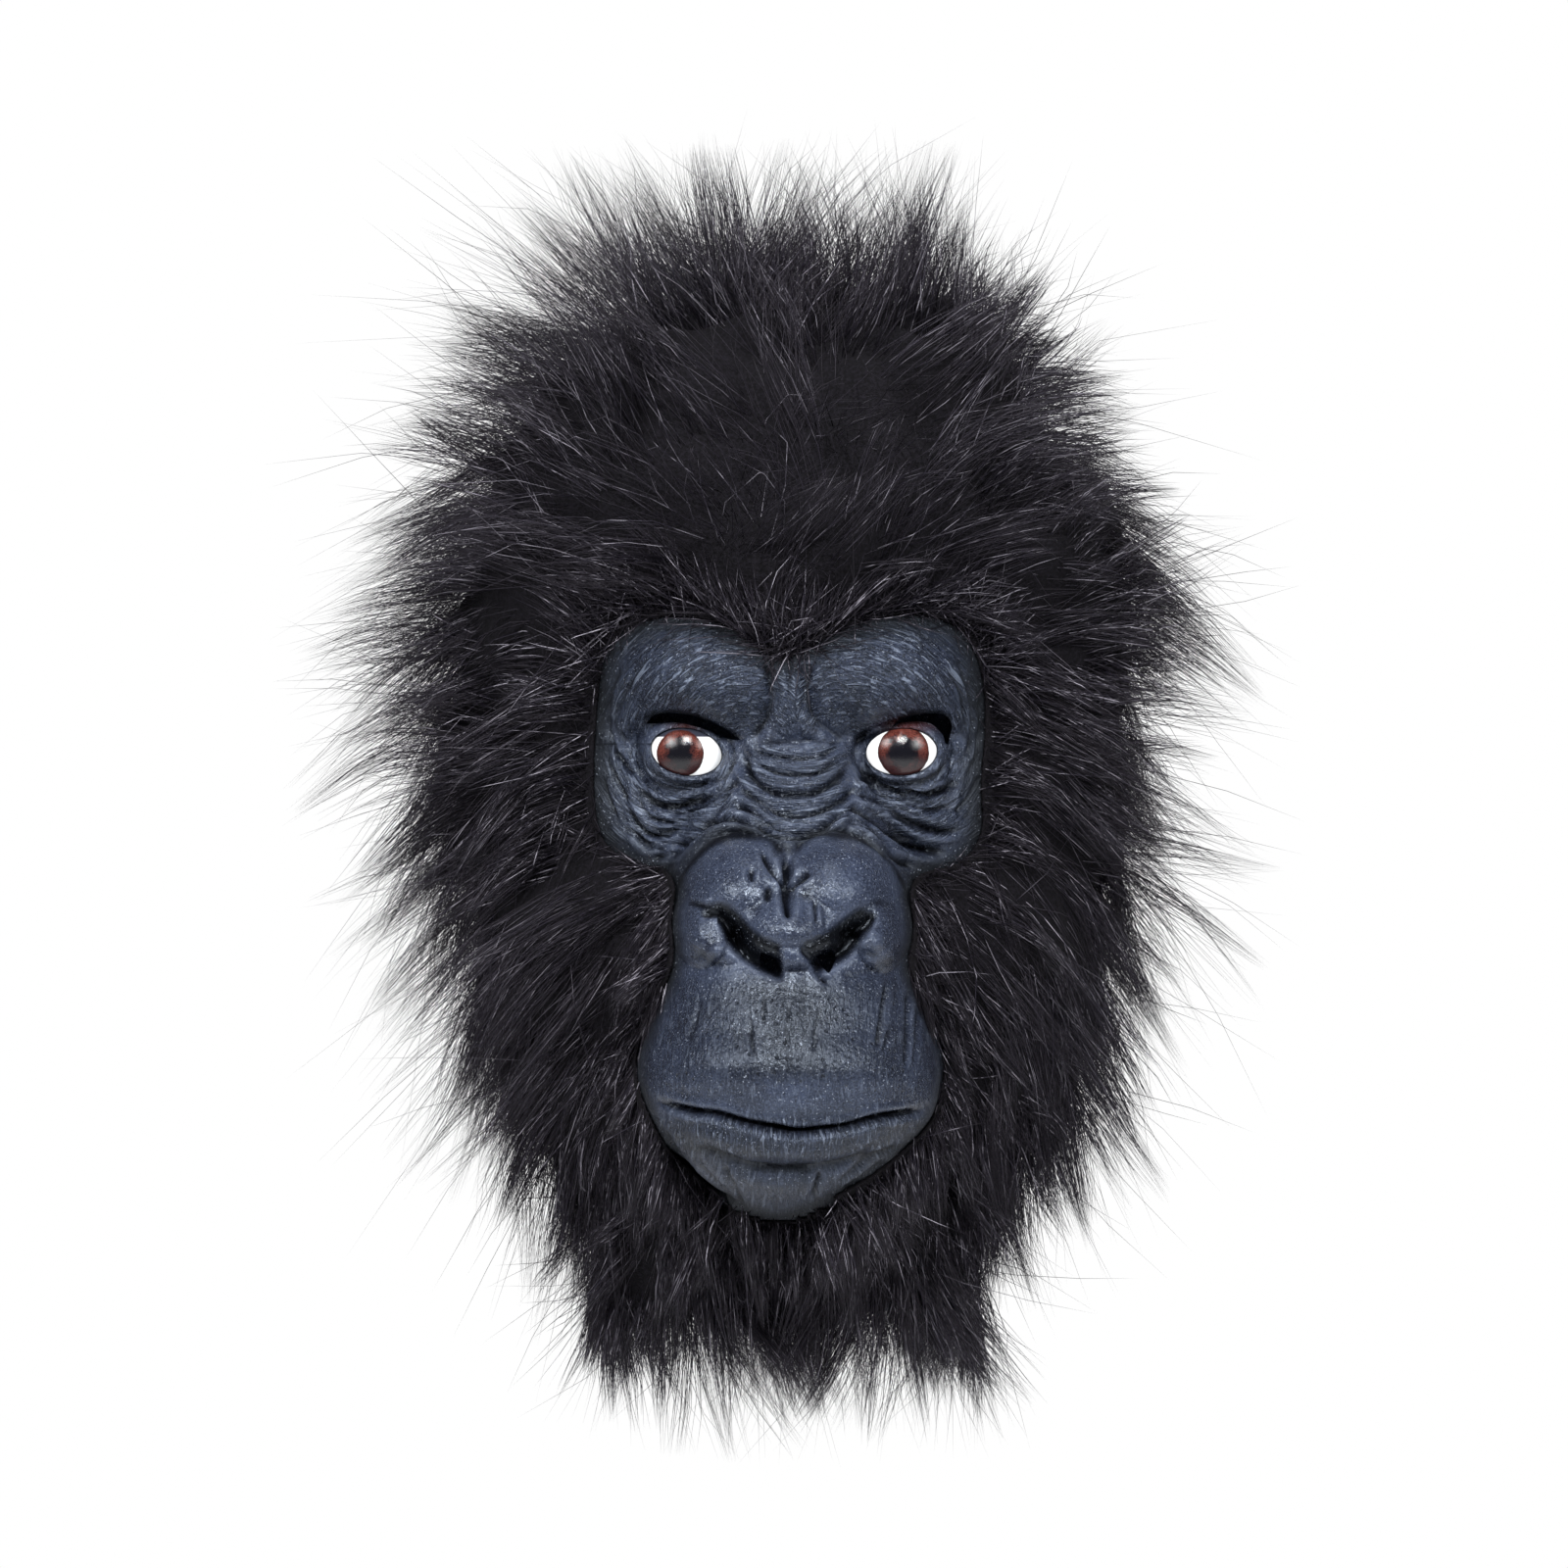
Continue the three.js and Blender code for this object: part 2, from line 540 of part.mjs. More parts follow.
// The undercoat with all its locks. Rows start half a lock further round by turns, and none starts in the face
function furForm(fur) {
  let solid = undercoat(fur);
  fur.locks.forEach((row, r) => {
    for (let i = 0; i < row.count; i++) {
      const angle = (2 * Math.PI * (i + (r % 2) / 2)) / row.count - Math.PI;
      const root = furPoint(fur, row.down, angle);
      const inFace = Math.abs(root.x) < fur.bareHalfWidth && root.y < 0 && root.z < fur.bareTop;
      if (!inFace) solid = solid.add(lock(fur, row, angle));
    }
  });
  return solid;
}

const hoodFur = {
  wide: HOOD_HALF_WIDTH,
  front: HOOD_FRONT,
  back: HOOD_BACK,
  top: HOOD_TOP,
  height: HOOD_TOP + HOOD_DROP,
  middle: -EYE_DROP,
  table: HOOD,
  locks: HOOD_LOCKS,
  lockLength: HOOD_LOCK_LENGTH,
  bareHalfWidth: FACE_HALF_WIDTH + LOCK_HALF_WIDTH / 2,
  bareTop: FACE_TOP + LOCK_HALF_WIDTH,
};
const collarFur = {
  wide: COLLAR_HALF_WIDTH,
  front: COLLAR_FRONT,
  back: COLLAR_BACK,
  top: -COLLAR_TOP_DROP,
  height: HEAD_HEIGHT - COLLAR_TOP_DROP,
  middle: -COLLAR_TOP_DROP,
  table: COLLAR,
  locks: COLLAR_LOCKS,
  lockLength: COLLAR_LOCK_LENGTH,
  bareHalfWidth: 0,
  bareTop: RIM,
};

function furCollar() {
  return trimmed(furForm(collarFur).subtract(grownHead(BACKING_CLEARANCE, COLLAR_LOCK_LENGTH * 2)));
}

function furHood(collar) {
  const face = prismAlongY(openingOutline(), HEAD_FRONT + SNOUT_OUT + HOOD_LOCK_LENGTH, HEAD_FRONT * 0.3);
  const [sides, height] = [FUR_STEPS_AROUND, HEAD_HEIGHT];
  const neck = new THREE.CylinderGeometry(1, 1, height, sides).rotateX(Math.PI / 2);
  neck.scale(COLLAR_HALF_WIDTH + FUR_CLEARANCE, COLLAR_BACK + FUR_CLEARANCE, 1);
  neck.translate(0, 0, -COLLAR_TOP_DROP + FUR_CLEARANCE - height / 2);
  return trimmed(furForm(hoodFur).subtract(grownHead(BACKING_CLEARANCE, 0)).subtract(face).subtract(toSolid(neck)).subtract(collar));
}

function node(name, solid, material) {
  const mesh = new THREE.Mesh(toGeometry(solid), material);
  mesh.name = name;
  return mesh;
}

const rubber = new THREE.MeshStandardMaterial({ color: 0x3b4252, roughness: 0.45, metalness: 0 });
const gloss = new THREE.MeshStandardMaterial({ color: 0x8a4436, roughness: 0.12, metalness: 0 });
const fur = new THREE.MeshStandardMaterial({ color: 0x14131a, roughness: 0.75, metalness: 0 });

const collar = furCollar();
const mask = new THREE.Group();
mask.add(node("rubber_head", rubberHead(), rubber));
mask.add(node("eye_left", eye(-1), gloss));
mask.add(node("eye_right", eye(1), gloss));
mask.add(node("fur_hood", furHood(collar), fur));
mask.add(node("fur_collar", collar, fur));

export default mask;
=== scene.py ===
# %% [markdown]
# # A gorilla mask in cast rubber and long fur
# The mask is pulled over the whole head. A thin rubber casting carries the face, and long dark fur is glued round it.
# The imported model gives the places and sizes: each piece made here stands where a solid of that model stands, is
# finer, and has the finish of the real one. All tables are in millimetres or in pixels of the 1600 pixel photograph,
# and Blender gets metres.

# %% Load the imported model
import math

import bpy
import numpy as np
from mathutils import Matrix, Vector, kdtree


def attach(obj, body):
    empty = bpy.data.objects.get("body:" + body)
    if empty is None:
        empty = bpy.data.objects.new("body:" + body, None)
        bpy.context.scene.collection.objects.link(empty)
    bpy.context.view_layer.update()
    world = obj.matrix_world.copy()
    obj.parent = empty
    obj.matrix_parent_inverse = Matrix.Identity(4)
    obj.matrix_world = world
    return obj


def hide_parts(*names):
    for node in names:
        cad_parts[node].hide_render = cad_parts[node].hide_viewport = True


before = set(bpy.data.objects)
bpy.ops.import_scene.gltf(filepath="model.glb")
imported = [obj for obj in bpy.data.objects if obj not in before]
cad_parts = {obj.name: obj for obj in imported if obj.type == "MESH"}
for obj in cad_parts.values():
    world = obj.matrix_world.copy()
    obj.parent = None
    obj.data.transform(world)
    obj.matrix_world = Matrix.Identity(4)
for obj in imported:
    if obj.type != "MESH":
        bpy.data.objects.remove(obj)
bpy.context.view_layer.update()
MM = 0.001
dice = np.random.default_rng(7)
print("packed solids:", sorted(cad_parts))

# %% [markdown]
# ## Camera
# A long lens straight in front of the face. The frame is square, and one pixel of the photograph is 0.3 mm on a plane
# 110 mm in front of the middle of the head. Knowing the camera by numbers makes a second thing possible: any point of
# a piece can be turned into the pixel where the camera sees it, so a wrinkle measured in pixels lands in its place.

# %% Camera
CAMERA = (-1.5, -2310.0, -134.4)
PIXEL = 0.3
PIXEL_DISTANCE = 2200.0
PICTURE_MIDDLE = 800
bpy.ops.object.camera_add(location=[v * MM for v in CAMERA], rotation=(math.radians(90), 0, 0))
camera = bpy.context.object
camera.name = "camera"
camera.data.lens = 165
camera.data.sensor_width = 36
bpy.context.scene.camera = camera


def to_picture(points):
    """Pixels of the photograph where the camera sees points given in millimetres."""
    step = PIXEL * (points[..., 1] - CAMERA[1]) / PIXEL_DISTANCE
    across = PICTURE_MIDDLE + (points[..., 0] - CAMERA[0]) / step
    down = PICTURE_MIDDLE - (points[..., 2] - CAMERA[2]) / step
    return across, down


def from_picture(across, down, y):
    """The point at depth y, in millimetres, that the camera sees at a pixel."""
    step = PIXEL * (y - CAMERA[1]) / PIXEL_DISTANCE
    x = CAMERA[0] + (across - PICTURE_MIDDLE) * step
    z = CAMERA[2] - (down - PICTURE_MIDDLE) * step
    return np.stack([x, y + 0 * across, z], -1)


print("camera at", CAMERA)

# %% [markdown]
# ## Studio
# The mask is held up, so the pale floor lies well below it. A small soft box high in front gives the short glints on
# rubber, eyes and hair, two larger ones stand left and right, and broad weak ones lift the crown and the back. The
# white room fills the shadows: it is seen at full white and lights at a part of that, so black fur stays black.

# %% Floor, lights and room
FLOOR_SIZE, FLOOR_LEVEL = 3.2, -0.72
bpy.ops.mesh.primitive_plane_add(size=FLOOR_SIZE, location=(0, 0, FLOOR_LEVEL))
floor = bpy.context.object
floor.name = "floor"
floor_finish = bpy.data.materials.new("pale_floor")
floor_finish.use_nodes = True
floor_shader = floor_finish.node_tree.nodes["Principled BSDF"]
floor_shader.inputs["Base Color"].default_value = (0.86, 0.86, 0.87, 1)
floor_shader.inputs["Roughness"].default_value = 0.8
floor.data.materials.append(floor_finish)

AIM = Vector((0, -0.1, -0.14))
# place and size in metres, then watts
LAMPS = {
    "key": ((0.05, -1.6, 0.95), 0.2, 43),
    "side_left": ((-1.25, -1.25, 0.75), 0.6, 30),
    "side_right": ((1.35, -1.25, 0.6), 0.6, 22),
    "top_fill": ((0.0, -0.5, 1.65), 0.9, 10),
    "back_fill": ((0.6, 2.2, 0.9), 1.2, 20),
}


def soft_box(name, place, size, watts):
    bpy.ops.object.light_add(type="AREA", location=place)
    lamp = bpy.context.object
    lamp.name = name
    lamp.data.size = size
    lamp.data.energy = watts
    lamp.rotation_euler = (AIM - Vector(place)).to_track_quat("-Z", "Y").to_euler()


for name, (place, size, watts) in LAMPS.items():
    soft_box(name, place, size, watts)

world = bpy.context.scene.world or bpy.data.worlds.new("room")
bpy.context.scene.world = world
world.use_nodes = True
room = world.node_tree
room.nodes.clear()


def background(colour, strength):
    made = room.nodes.new("ShaderNodeBackground")
    made.inputs["Color"].default_value = (*colour, 1)
    made.inputs["Strength"].default_value = strength
    return made


seen, lighting = background((1, 1, 1), 1.0), background((0.95, 0.97, 1), 0.12)
ray = room.nodes.new("ShaderNodeLightPath")
choose = room.nodes.new("ShaderNodeMixShader")
out = room.nodes.new("ShaderNodeOutputWorld")
room.links.new(ray.outputs["Is Camera Ray"], choose.inputs[0])
room.links.new(lighting.outputs[0], choose.inputs[1])
room.links.new(seen.outputs[0], choose.inputs[2])
room.links.new(choose.outputs[0], out.inputs[0])
bpy.context.scene.view_settings.view_transform = "Standard"
print("studio ready")

# %% [markdown]
# ## The head's form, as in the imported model
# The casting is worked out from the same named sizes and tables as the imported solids: a skull that narrows to the
# neck, a snout laid over it, and rounded swells for brows, sockets and nose. The functions take whole arrays of
# points, because the fine casting has about ninety thousand.

# %% Sizes and tables of the head
WALL = 2.4
HEAD_HEIGHT, HEAD_HALF_WIDTH, HEAD_FRONT, HEAD_BACK = 300, 88, 100, 108
CROWN_DROP, CROWN_FULLNESS = 102, 2.3
FACE_TOP, FACE_HEIGHT, FACE_HALF_WIDTH = -83, 183, 58.5
SNOUT_OUT, SNOUT_HALF_WIDTH, SNOUT_ROOT, SNOUT_SQUARENESS, SNOUT_FILLET = 55, 47, 84, 2.4, 12
BROW_OUT, SOCKET_IN, NOSE_OUT = 15, 9, 8
LID_RADIUS, LID_FRONT = 15.5, 97
EYES = {"left": (-31.6, -124.5), "right": (34.8, -124.5)}
WIDEST = -CROWN_DROP

# down as a share of HEAD_HEIGHT, then half width, front and back as shares of the head's sizes
SKULL = [
    (0.34, 1.0, 1.0, 1.0),
    (0.45, 0.99, 0.98, 0.98),
    (0.6, 0.93, 0.95, 0.9),
    (0.72, 0.85, 0.9, 0.8),
    (0.82, 0.76, 0.76, 0.7),
    (0.91, 0.68, 0.6, 0.62),
    (1.0, 0.66, 0.58, 0.6),
]
# down as a share of FACE_HEIGHT, out of SNOUT_OUT, wide of SNOUT_HALF_WIDTH
SNOUT = [
    (-0.12, -1.8, 0.3),
    (0.1, -0.3, 0.4),
    (0.23, 0.04, 0.47),
    (0.31, 0.18, 0.6),
    (0.42, 0.47, 0.79),
    (0.53, 0.69, 0.83),
    (0.64, 0.85, 0.86),
    (0.75, 0.98, 0.99),
    (0.81, 0.99, 0.98),
    (0.86, 0.93, 0.9),
    (0.9, 0.85, 0.77),
    (0.94, 0.72, 0.6),
    (0.97, 0.55, 0.46),
    (1.0, 0.2, 0.38),
    (1.03, -0.4, 0.45),
    (1.08, -1.2, 0.5),
]
# across and half width as shares of FACE_HALF_WIDTH, down and half height of FACE_HEIGHT, then millimetres out
SWELLS = [
    (-0.56, 0.1, 0.54, 0.11, BROW_OUT),
    (0.6, 0.1, 0.54, 0.11, BROW_OUT),
    (0.02, 0.09, 0.45, 0.13, BROW_OUT * 0.6),
    (-0.58, 0.23, 0.4, 0.075, -SOCKET_IN),
    (0.6, 0.23, 0.4, 0.075, -SOCKET_IN),
]
NOSE_DOMES = [
    (-0.28, 0.449, 0.33, 0.085),
    (0.3, 0.446, 0.33, 0.085),
    (0.0, 0.528, 0.29, 0.06),
    (-0.46, 0.515, 0.16, 0.071),
    (0.49, 0.52, 0.155, 0.074),
]


def table_line(rows, column, place):
    """A smooth line through one column of a table, read at places in its first column."""
    table = np.array(rows, float)
    downs, values = table[:, 0], table[:, column]
    slopes = np.gradient(values, downs)
    slopes[1:-1] = (values[2:] - values[:-2]) / (downs[2:] - downs[:-2])
    place = np.clip(place, downs[0], downs[-1])
    i = np.clip(np.searchsorted(downs, place, side="right") - 1, 0, len(downs) - 2)
    gap = downs[i + 1] - downs[i]
    t = (place - downs[i]) / gap
    rise = (values[i + 1] - values[i]) * t * t * (3 - 2 * t)
    return values[i] + rise + gap * (slopes[i] * t * (1 - t) ** 2 - slopes[i + 1] * t * t * (1 - t))


def smooth_step(low, high, value):
    """0 at low, 1 at high; low may be the greater of the two."""
    t = np.clip((value - low) / (high - low), 0, 1)
    return t * t * (3 - 2 * t)


def smooth_max(a, b, fillet):
    near = np.maximum(fillet - np.abs(a - b), 0) / fillet
    return np.maximum(a, b) + near * near * fillet / 4


def skull_section(z):
    rise = np.clip((z - WIDEST) / (CROWN_DROP + WALL), 0, 1)
    dome = (1 - rise**CROWN_FULLNESS) ** (1 / CROWN_FULLNESS)
    wide, front, back = (np.where(z > WIDEST, dome, table_line(SKULL, k, -z / HEAD_HEIGHT)) for k in (1, 2, 3))
    return HEAD_HALF_WIDTH * wide, HEAD_FRONT * front, HEAD_BACK * back


def snout_depth(x, z):
    down = (FACE_TOP - z) / FACE_HEIGHT
    reach = HEAD_FRONT + SNOUT_OUT * table_line(SNOUT, 1, down)
    half = SNOUT_HALF_WIDTH * table_line(SNOUT, 2, down)
    side = np.minimum(np.abs(x) / half, 1)
    share = (1 - side**SNOUT_SQUARENESS) ** (1 / SNOUT_SQUARENESS)
    bulge = np.where(reach < SNOUT_ROOT, reach, SNOUT_ROOT + (reach - SNOUT_ROOT) * share)
    return np.where(side < 1, bulge, np.minimum(reach, SNOUT_ROOT) - 2 * (np.abs(x) - half))


def swell_share(swell, x, z, power):
    across = (x / FACE_HALF_WIDTH - swell[0]) / swell[2]
    down = ((FACE_TOP - z) / FACE_HEIGHT - swell[1]) / swell[3]
    return np.maximum(1 - across**2 - down**2, 0) ** power


def face_depth(x, z):
    """How far the casting's outside stands in front of the head's axis, without the fine folds."""
    wide, front, _ = skull_section(z)
    side = np.minimum(np.abs(x) / np.maximum(wide, 1), 1)
    depth = smooth_max(front * np.sqrt(1 - side**2), snout_depth(x, z), SNOUT_FILLET)
    for swell in SWELLS:
        depth = depth + swell[4] * swell_share(swell, x, z, 1.5)
    domes = sum(swell_share(dome, x, z, 0.6) ** 3 for dome in NOSE_DOMES) ** (1 / 3)
    depth = depth + NOSE_OUT * np.minimum(domes, 1.25)
    for eye_x, eye_z in EYES.values():
        off = np.maximum(LID_RADIUS**2 - (x - eye_x) ** 2 - (z - eye_z) ** 2, 0)
        lid = np.where(off > 0, np.sqrt(off) + LID_FRONT - LID_RADIUS, -99)
        depth = smooth_max(depth, lid, 2)
    return depth


print("brow, nose and lip stand out to", [round(float(face_depth(0.0, z)), 1) for z in (-95.0, -180.0, -225.0)])

# %% [markdown]
# ## A grid round the head
# One grid carries the whole outside: its columns run round the head, its rows go down it. The columns crowd where the
# face shows and spread where fur hides the rubber, so the folds are fine and the piece stays under 200 000 triangles.

# %% Points of the grid
FACE_ROWS, CHIN_ROWS_END = (-78, -262), -279


def row_heights(crown, face, chin, neck):
    """Heights of the rows from the crown to the rim, with a count for each stretch."""
    turn = np.linspace(math.pi / 2, 0, crown + 2)[:-1]
    top = WIDEST + (CROWN_DROP + WALL) * np.sin(turn) ** (2 / CROWN_FULLNESS)
    top = top[top > FACE_ROWS[0] + 1]
    stretches = [
        np.linspace(*FACE_ROWS, face),
        np.linspace(FACE_ROWS[1], CHIN_ROWS_END, chin + 1)[1:],
        np.linspace(CHIN_ROWS_END, -HEAD_HEIGHT, neck + 1)[1:],
    ]
    return np.concatenate([top, *stretches])


def head_points(heights, front_count, back_count):
    """Points [row, column, xyz] on the casting's outside, the first column repeated at the end."""
    wide, _, back = skull_section(heights)
    turn = np.linspace(-math.pi / 2, math.pi / 2, 901)
    x = wide[:, None] * np.sin(turn)
    z = np.repeat(heights[:, None], len(turn), 1)
    depth = face_depth(x, z)
    middle = (np.abs(x[:, 1:]) + np.abs(x[:, :-1])) / 2
    shown = 0.1 + 0.9 * (1 - smooth_step(50, 68, middle))
    pieces = shown * np.hypot(np.diff(x), 0.4 * np.diff(depth)) + 1e-6
    along = np.concatenate([np.zeros((len(heights), 1)), np.cumsum(pieces, 1)], 1)
    rows = []
    for i, height in enumerate(heights):
        stops = np.linspace(0, along[i, -1], front_count + 1)
        front_x = np.interp(stops, along[i], x[i])
        front_y = -face_depth(front_x, np.full_like(front_x, height))
        front_y[[0, -1]] = 0
        behind = np.linspace(math.pi / 2, -math.pi / 2, back_count + 1)[1:]
        row_x = np.concatenate([front_x, wide[i] * np.sin(behind)])
        row_y = np.concatenate([front_y, back[i] * np.cos(behind)])
        rows.append(np.stack([row_x, row_y, np.full_like(row_x, height)], -1))
    return np.array(rows)


def outward(points):
    """Unit normals of a wrapped grid of points."""
    wrapped = np.concatenate([points[:, -2:-1], points, points[:, 1:2]], 1)
    along = wrapped[:, 2:] - wrapped[:, :-2]
    down = np.gradient(points, axis=0)
    normal = np.cross(down, along)
    length = np.linalg.norm(normal, axis=-1, keepdims=True)
    normal = normal / np.maximum(length, 1e-9)
    normal[0] = (0, 0, 1)
    return normal


fine = head_points(row_heights(22, 262, 24, 6), 276, 24)
fine_normals = outward(fine)
picture = to_picture(fine)
print("fine grid:", fine.shape[0], "rows of", fine.shape[1], "points")

# %% [markdown]
# ## Folds, furrows and creases
# The life of the face is in its folds: rolls under the eyes, arcs over the bridge, the heart-shaped edge of the nose,
# the parting of the lips. Each is a line with a width and a depth. The surface sinks along the line and swells a
# little beside it, as clay does under a modelling tool.

# %% Tables of folds, in pixels of the photograph
# name: (width in pixels, depth in millimetres, points)
FOLDS = {
    "furrow_left": (5, 1.1, [(783, 672), (787, 706), (783, 730), (773, 746), (765, 757)]),
    "furrow_right": (5, 1.1, [(826, 672), (824, 704), (828, 725), (838, 740), (866, 757)]),
    "furrow_mid": (3, 0.6, [(804, 660), (806, 690), (803, 720)]),
    "bridge_1": (2.6, 0.8, [(767, 760), (788, 758), (809, 757), (830, 756), (851, 758), (863, 755)]),
    "bridge_2": (3.2, 1.3, [(763, 763), (783, 769), (800, 772), (822, 773), (841, 769), (860, 759)]),
    "bridge_3": (3.0, 1.2, [(766, 774), (783, 784), (799, 789), (820, 790), (838, 787), (859, 774)]),
    "bridge_4": (4.0, 1.9, [
        (757, 766), (761, 782), (773, 798), (790, 807), (812, 809), (832, 807), (852, 797), (868, 780),
    ]),
    "bridge_5": (3.4, 1.5, [
        (749, 801), (762, 808), (778, 819), (796, 829), (818, 831), (840, 825), (860, 815), (876, 800),
    ]),
    "bridge_6": (3.6, 1.7, [
        (736, 826), (754, 823), (770, 829), (783, 840), (802, 846), (824, 846), (846, 839), (867, 823),
    ]),
    "nose_fold": (3.6, 1.7, [
        (680, 893), (693, 864), (707, 851), (726, 839), (747, 834), (768, 840), (783, 849), (800, 854),
        (820, 854), (838, 848), (856, 845), (876, 851), (896, 865), (914, 886),
    ]),
    "lid_low_left": (2.6, 0.9, [
        (652, 762), (654, 783), (666, 799), (688, 806), (710, 805), (729, 798), (745, 786), (752, 770),
    ]),
    "eye_left_1": (4.0, 2.3, [(650, 800), (663, 819), (684, 825), (708, 820), (730, 808), (748, 797), (757, 792)]),
    "eye_left_2": (3.4, 1.6, [
        (645, 806), (656, 826), (668, 836), (690, 839), (710, 832), (728, 822), (744, 810), (752, 802),
    ]),
    "eye_left_3": (4.0, 2.0, [
        (637, 818), (648, 840), (662, 852), (684, 853), (706, 844), (722, 834), (736, 822), (746, 812),
    ]),
    "eye_left_4": (3.2, 1.4, [(644, 846), (656, 861), (673, 867), (690, 861), (706, 852), (720, 841), (733, 831)]),
    "eye_left_5": (3.0, 1.2, [(662, 878), (678, 872), (694, 866), (708, 855), (720, 846)]),
    "lid_low_right": (2.6, 0.9, [(876, 768), (884, 784), (899, 795), (920, 801), (941, 800), (958, 791), (968, 776)]),
    "eye_right_1": (3.4, 1.7, [(872, 774), (888, 794), (906, 805), (927, 811), (948, 812), (968, 804), (980, 792)]),
    "eye_right_2": (3.4, 1.6, [(873, 790), (893, 804), (912, 814), (930, 822), (950, 826), (972, 820)]),
    "eye_right_3": (3.6, 1.7, [(868, 810), (888, 813), (904, 821), (920, 833), (938, 841), (958, 848), (984, 846)]),
    "eye_right_4": (4.2, 2.3, [(860, 824), (877, 827), (893, 836), (909, 850), (925, 861), (943, 867), (966, 870)]),
    "eye_right_5": (3.8, 1.9, [(858, 838), (877, 840), (893, 850), (906, 864), (919, 877), (934, 886)]),
    "temple_left_1": (3.0, 0.9, [(634, 676), (624, 705), (621, 735), (627, 762), (640, 786)]),
    "temple_left_2": (3.0, 0.9, [(646, 690), (634, 715), (632, 742), (640, 762)]),
    "temple_left_3": (3.0, 1.0, [(616, 756), (622, 780), (632, 802), (642, 822)]),
    "temple_left_4": (3.0, 1.0, [(614, 790), (620, 815), (632, 838), (646, 856)]),
    "temple_left_5": (2.6, 0.8, [(626, 766), (636, 778), (648, 790)]),
    "temple_right_1": (3.0, 0.9, [(976, 672), (988, 700), (992, 730), (990, 756), (984, 778)]),
    "temple_right_2": (3.0, 0.8, [(966, 680), (980, 706), (984, 734), (980, 756)]),
    "temple_right_3": (3.0, 0.9, [(1000, 700), (1001, 740), (996, 772), (984, 800)]),
    "temple_right_4": (3.0, 0.9, [(1000, 790), (990, 812), (974, 832)]),
    "nose_groove": (4.0, 2.4, [(803, 872), (803, 892), (803, 912), (804, 937)]),
    "nose_stroke_left": (2.8, 1.4, [(777, 866), (783, 880), (792, 894), (802, 907)]),
    "nose_stroke_right": (2.8, 1.4, [(826, 889), (816, 899), (806, 909)]),
    "nose_scratch": (1.8, 0.8, [(831, 920), (833, 943)]),
    "nose_pit_1": (3.0, 0.9, [(766, 886), (767, 900)]),
    "nose_pit_2": (3.0, 0.8, [(784, 906), (783, 920)]),
    "wing_line_left": (2.2, 0.6, [(700, 921), (712, 923), (724, 926)]),
    "nostril_spur": (2.6, 1.2, [(817, 966), (828, 985), (838, 997), (847, 1004)]),
    "lip_groove_1": (2.2, 0.6, [(806, 1020), (804, 1045), (801, 1076)]),
    "lip_groove_2": (2.0, 0.5, [(765, 1038), (767, 1060), (770, 1082)]),
    "lip_groove_3": (1.9, 0.35, [(779, 1006), (779, 1048)]),
    "lip_groove_4": (2.0, 0.5, [(838, 1030), (832, 1052), (832, 1074)]),
    "side_groove_1": (2.4, 0.9, [(906, 1000), (900, 1036), (895, 1072)]),
    "side_groove_2": (2.2, 0.6, [(907, 1050), (901, 1074)]),
    "side_groove_3": (2.4, 0.9, [(927, 1010), (926, 1050), (924, 1090)]),
    "side_groove_4": (2.2, 0.7, [(936, 1026), (935, 1060), (932, 1088)]),
    "side_groove_5": (2.6, 0.6, [(716, 1018), (710, 1040), (702, 1065)]),
    "lip_line": (3.0, 2.0, [
        (670, 1124), (690, 1130), (711, 1135), (733, 1138), (764, 1147), (793, 1152), (813, 1156), (834, 1154),
        (864, 1150), (895, 1141), (930, 1135), (948, 1128),
    ]),
    "lip_under": (6.0, 1.5, [
        (700, 1168), (727, 1177), (754, 1188), (782, 1193), (814, 1194), (850, 1190), (880, 1182), (906, 1172),
    ]),
    "chin_left_1": (2.6, 1.3, [(676, 1150), (694, 1181), (727, 1213), (760, 1232)]),
    "chin_left_2": (2.4, 1.1, [(712, 1186), (730, 1204), (750, 1222)]),
    "chin_left_3": (2.4, 1.1, [(738, 1190), (748, 1208), (758, 1230)]),
    "chin_middle": (2.2, 0.3, [(791, 1190), (792, 1212), (791, 1237)]),
    "chin_right_1": (2.6, 1.2, [(838, 1197), (833, 1208), (830, 1222)]),
    "chin_right_2": (2.6, 1.2, [(852, 1208), (874, 1194), (896, 1180), (918, 1168)]),
    "chin_right_3": (2.4, 1.1, [(858, 1214), (880, 1199), (904, 1183)]),
}
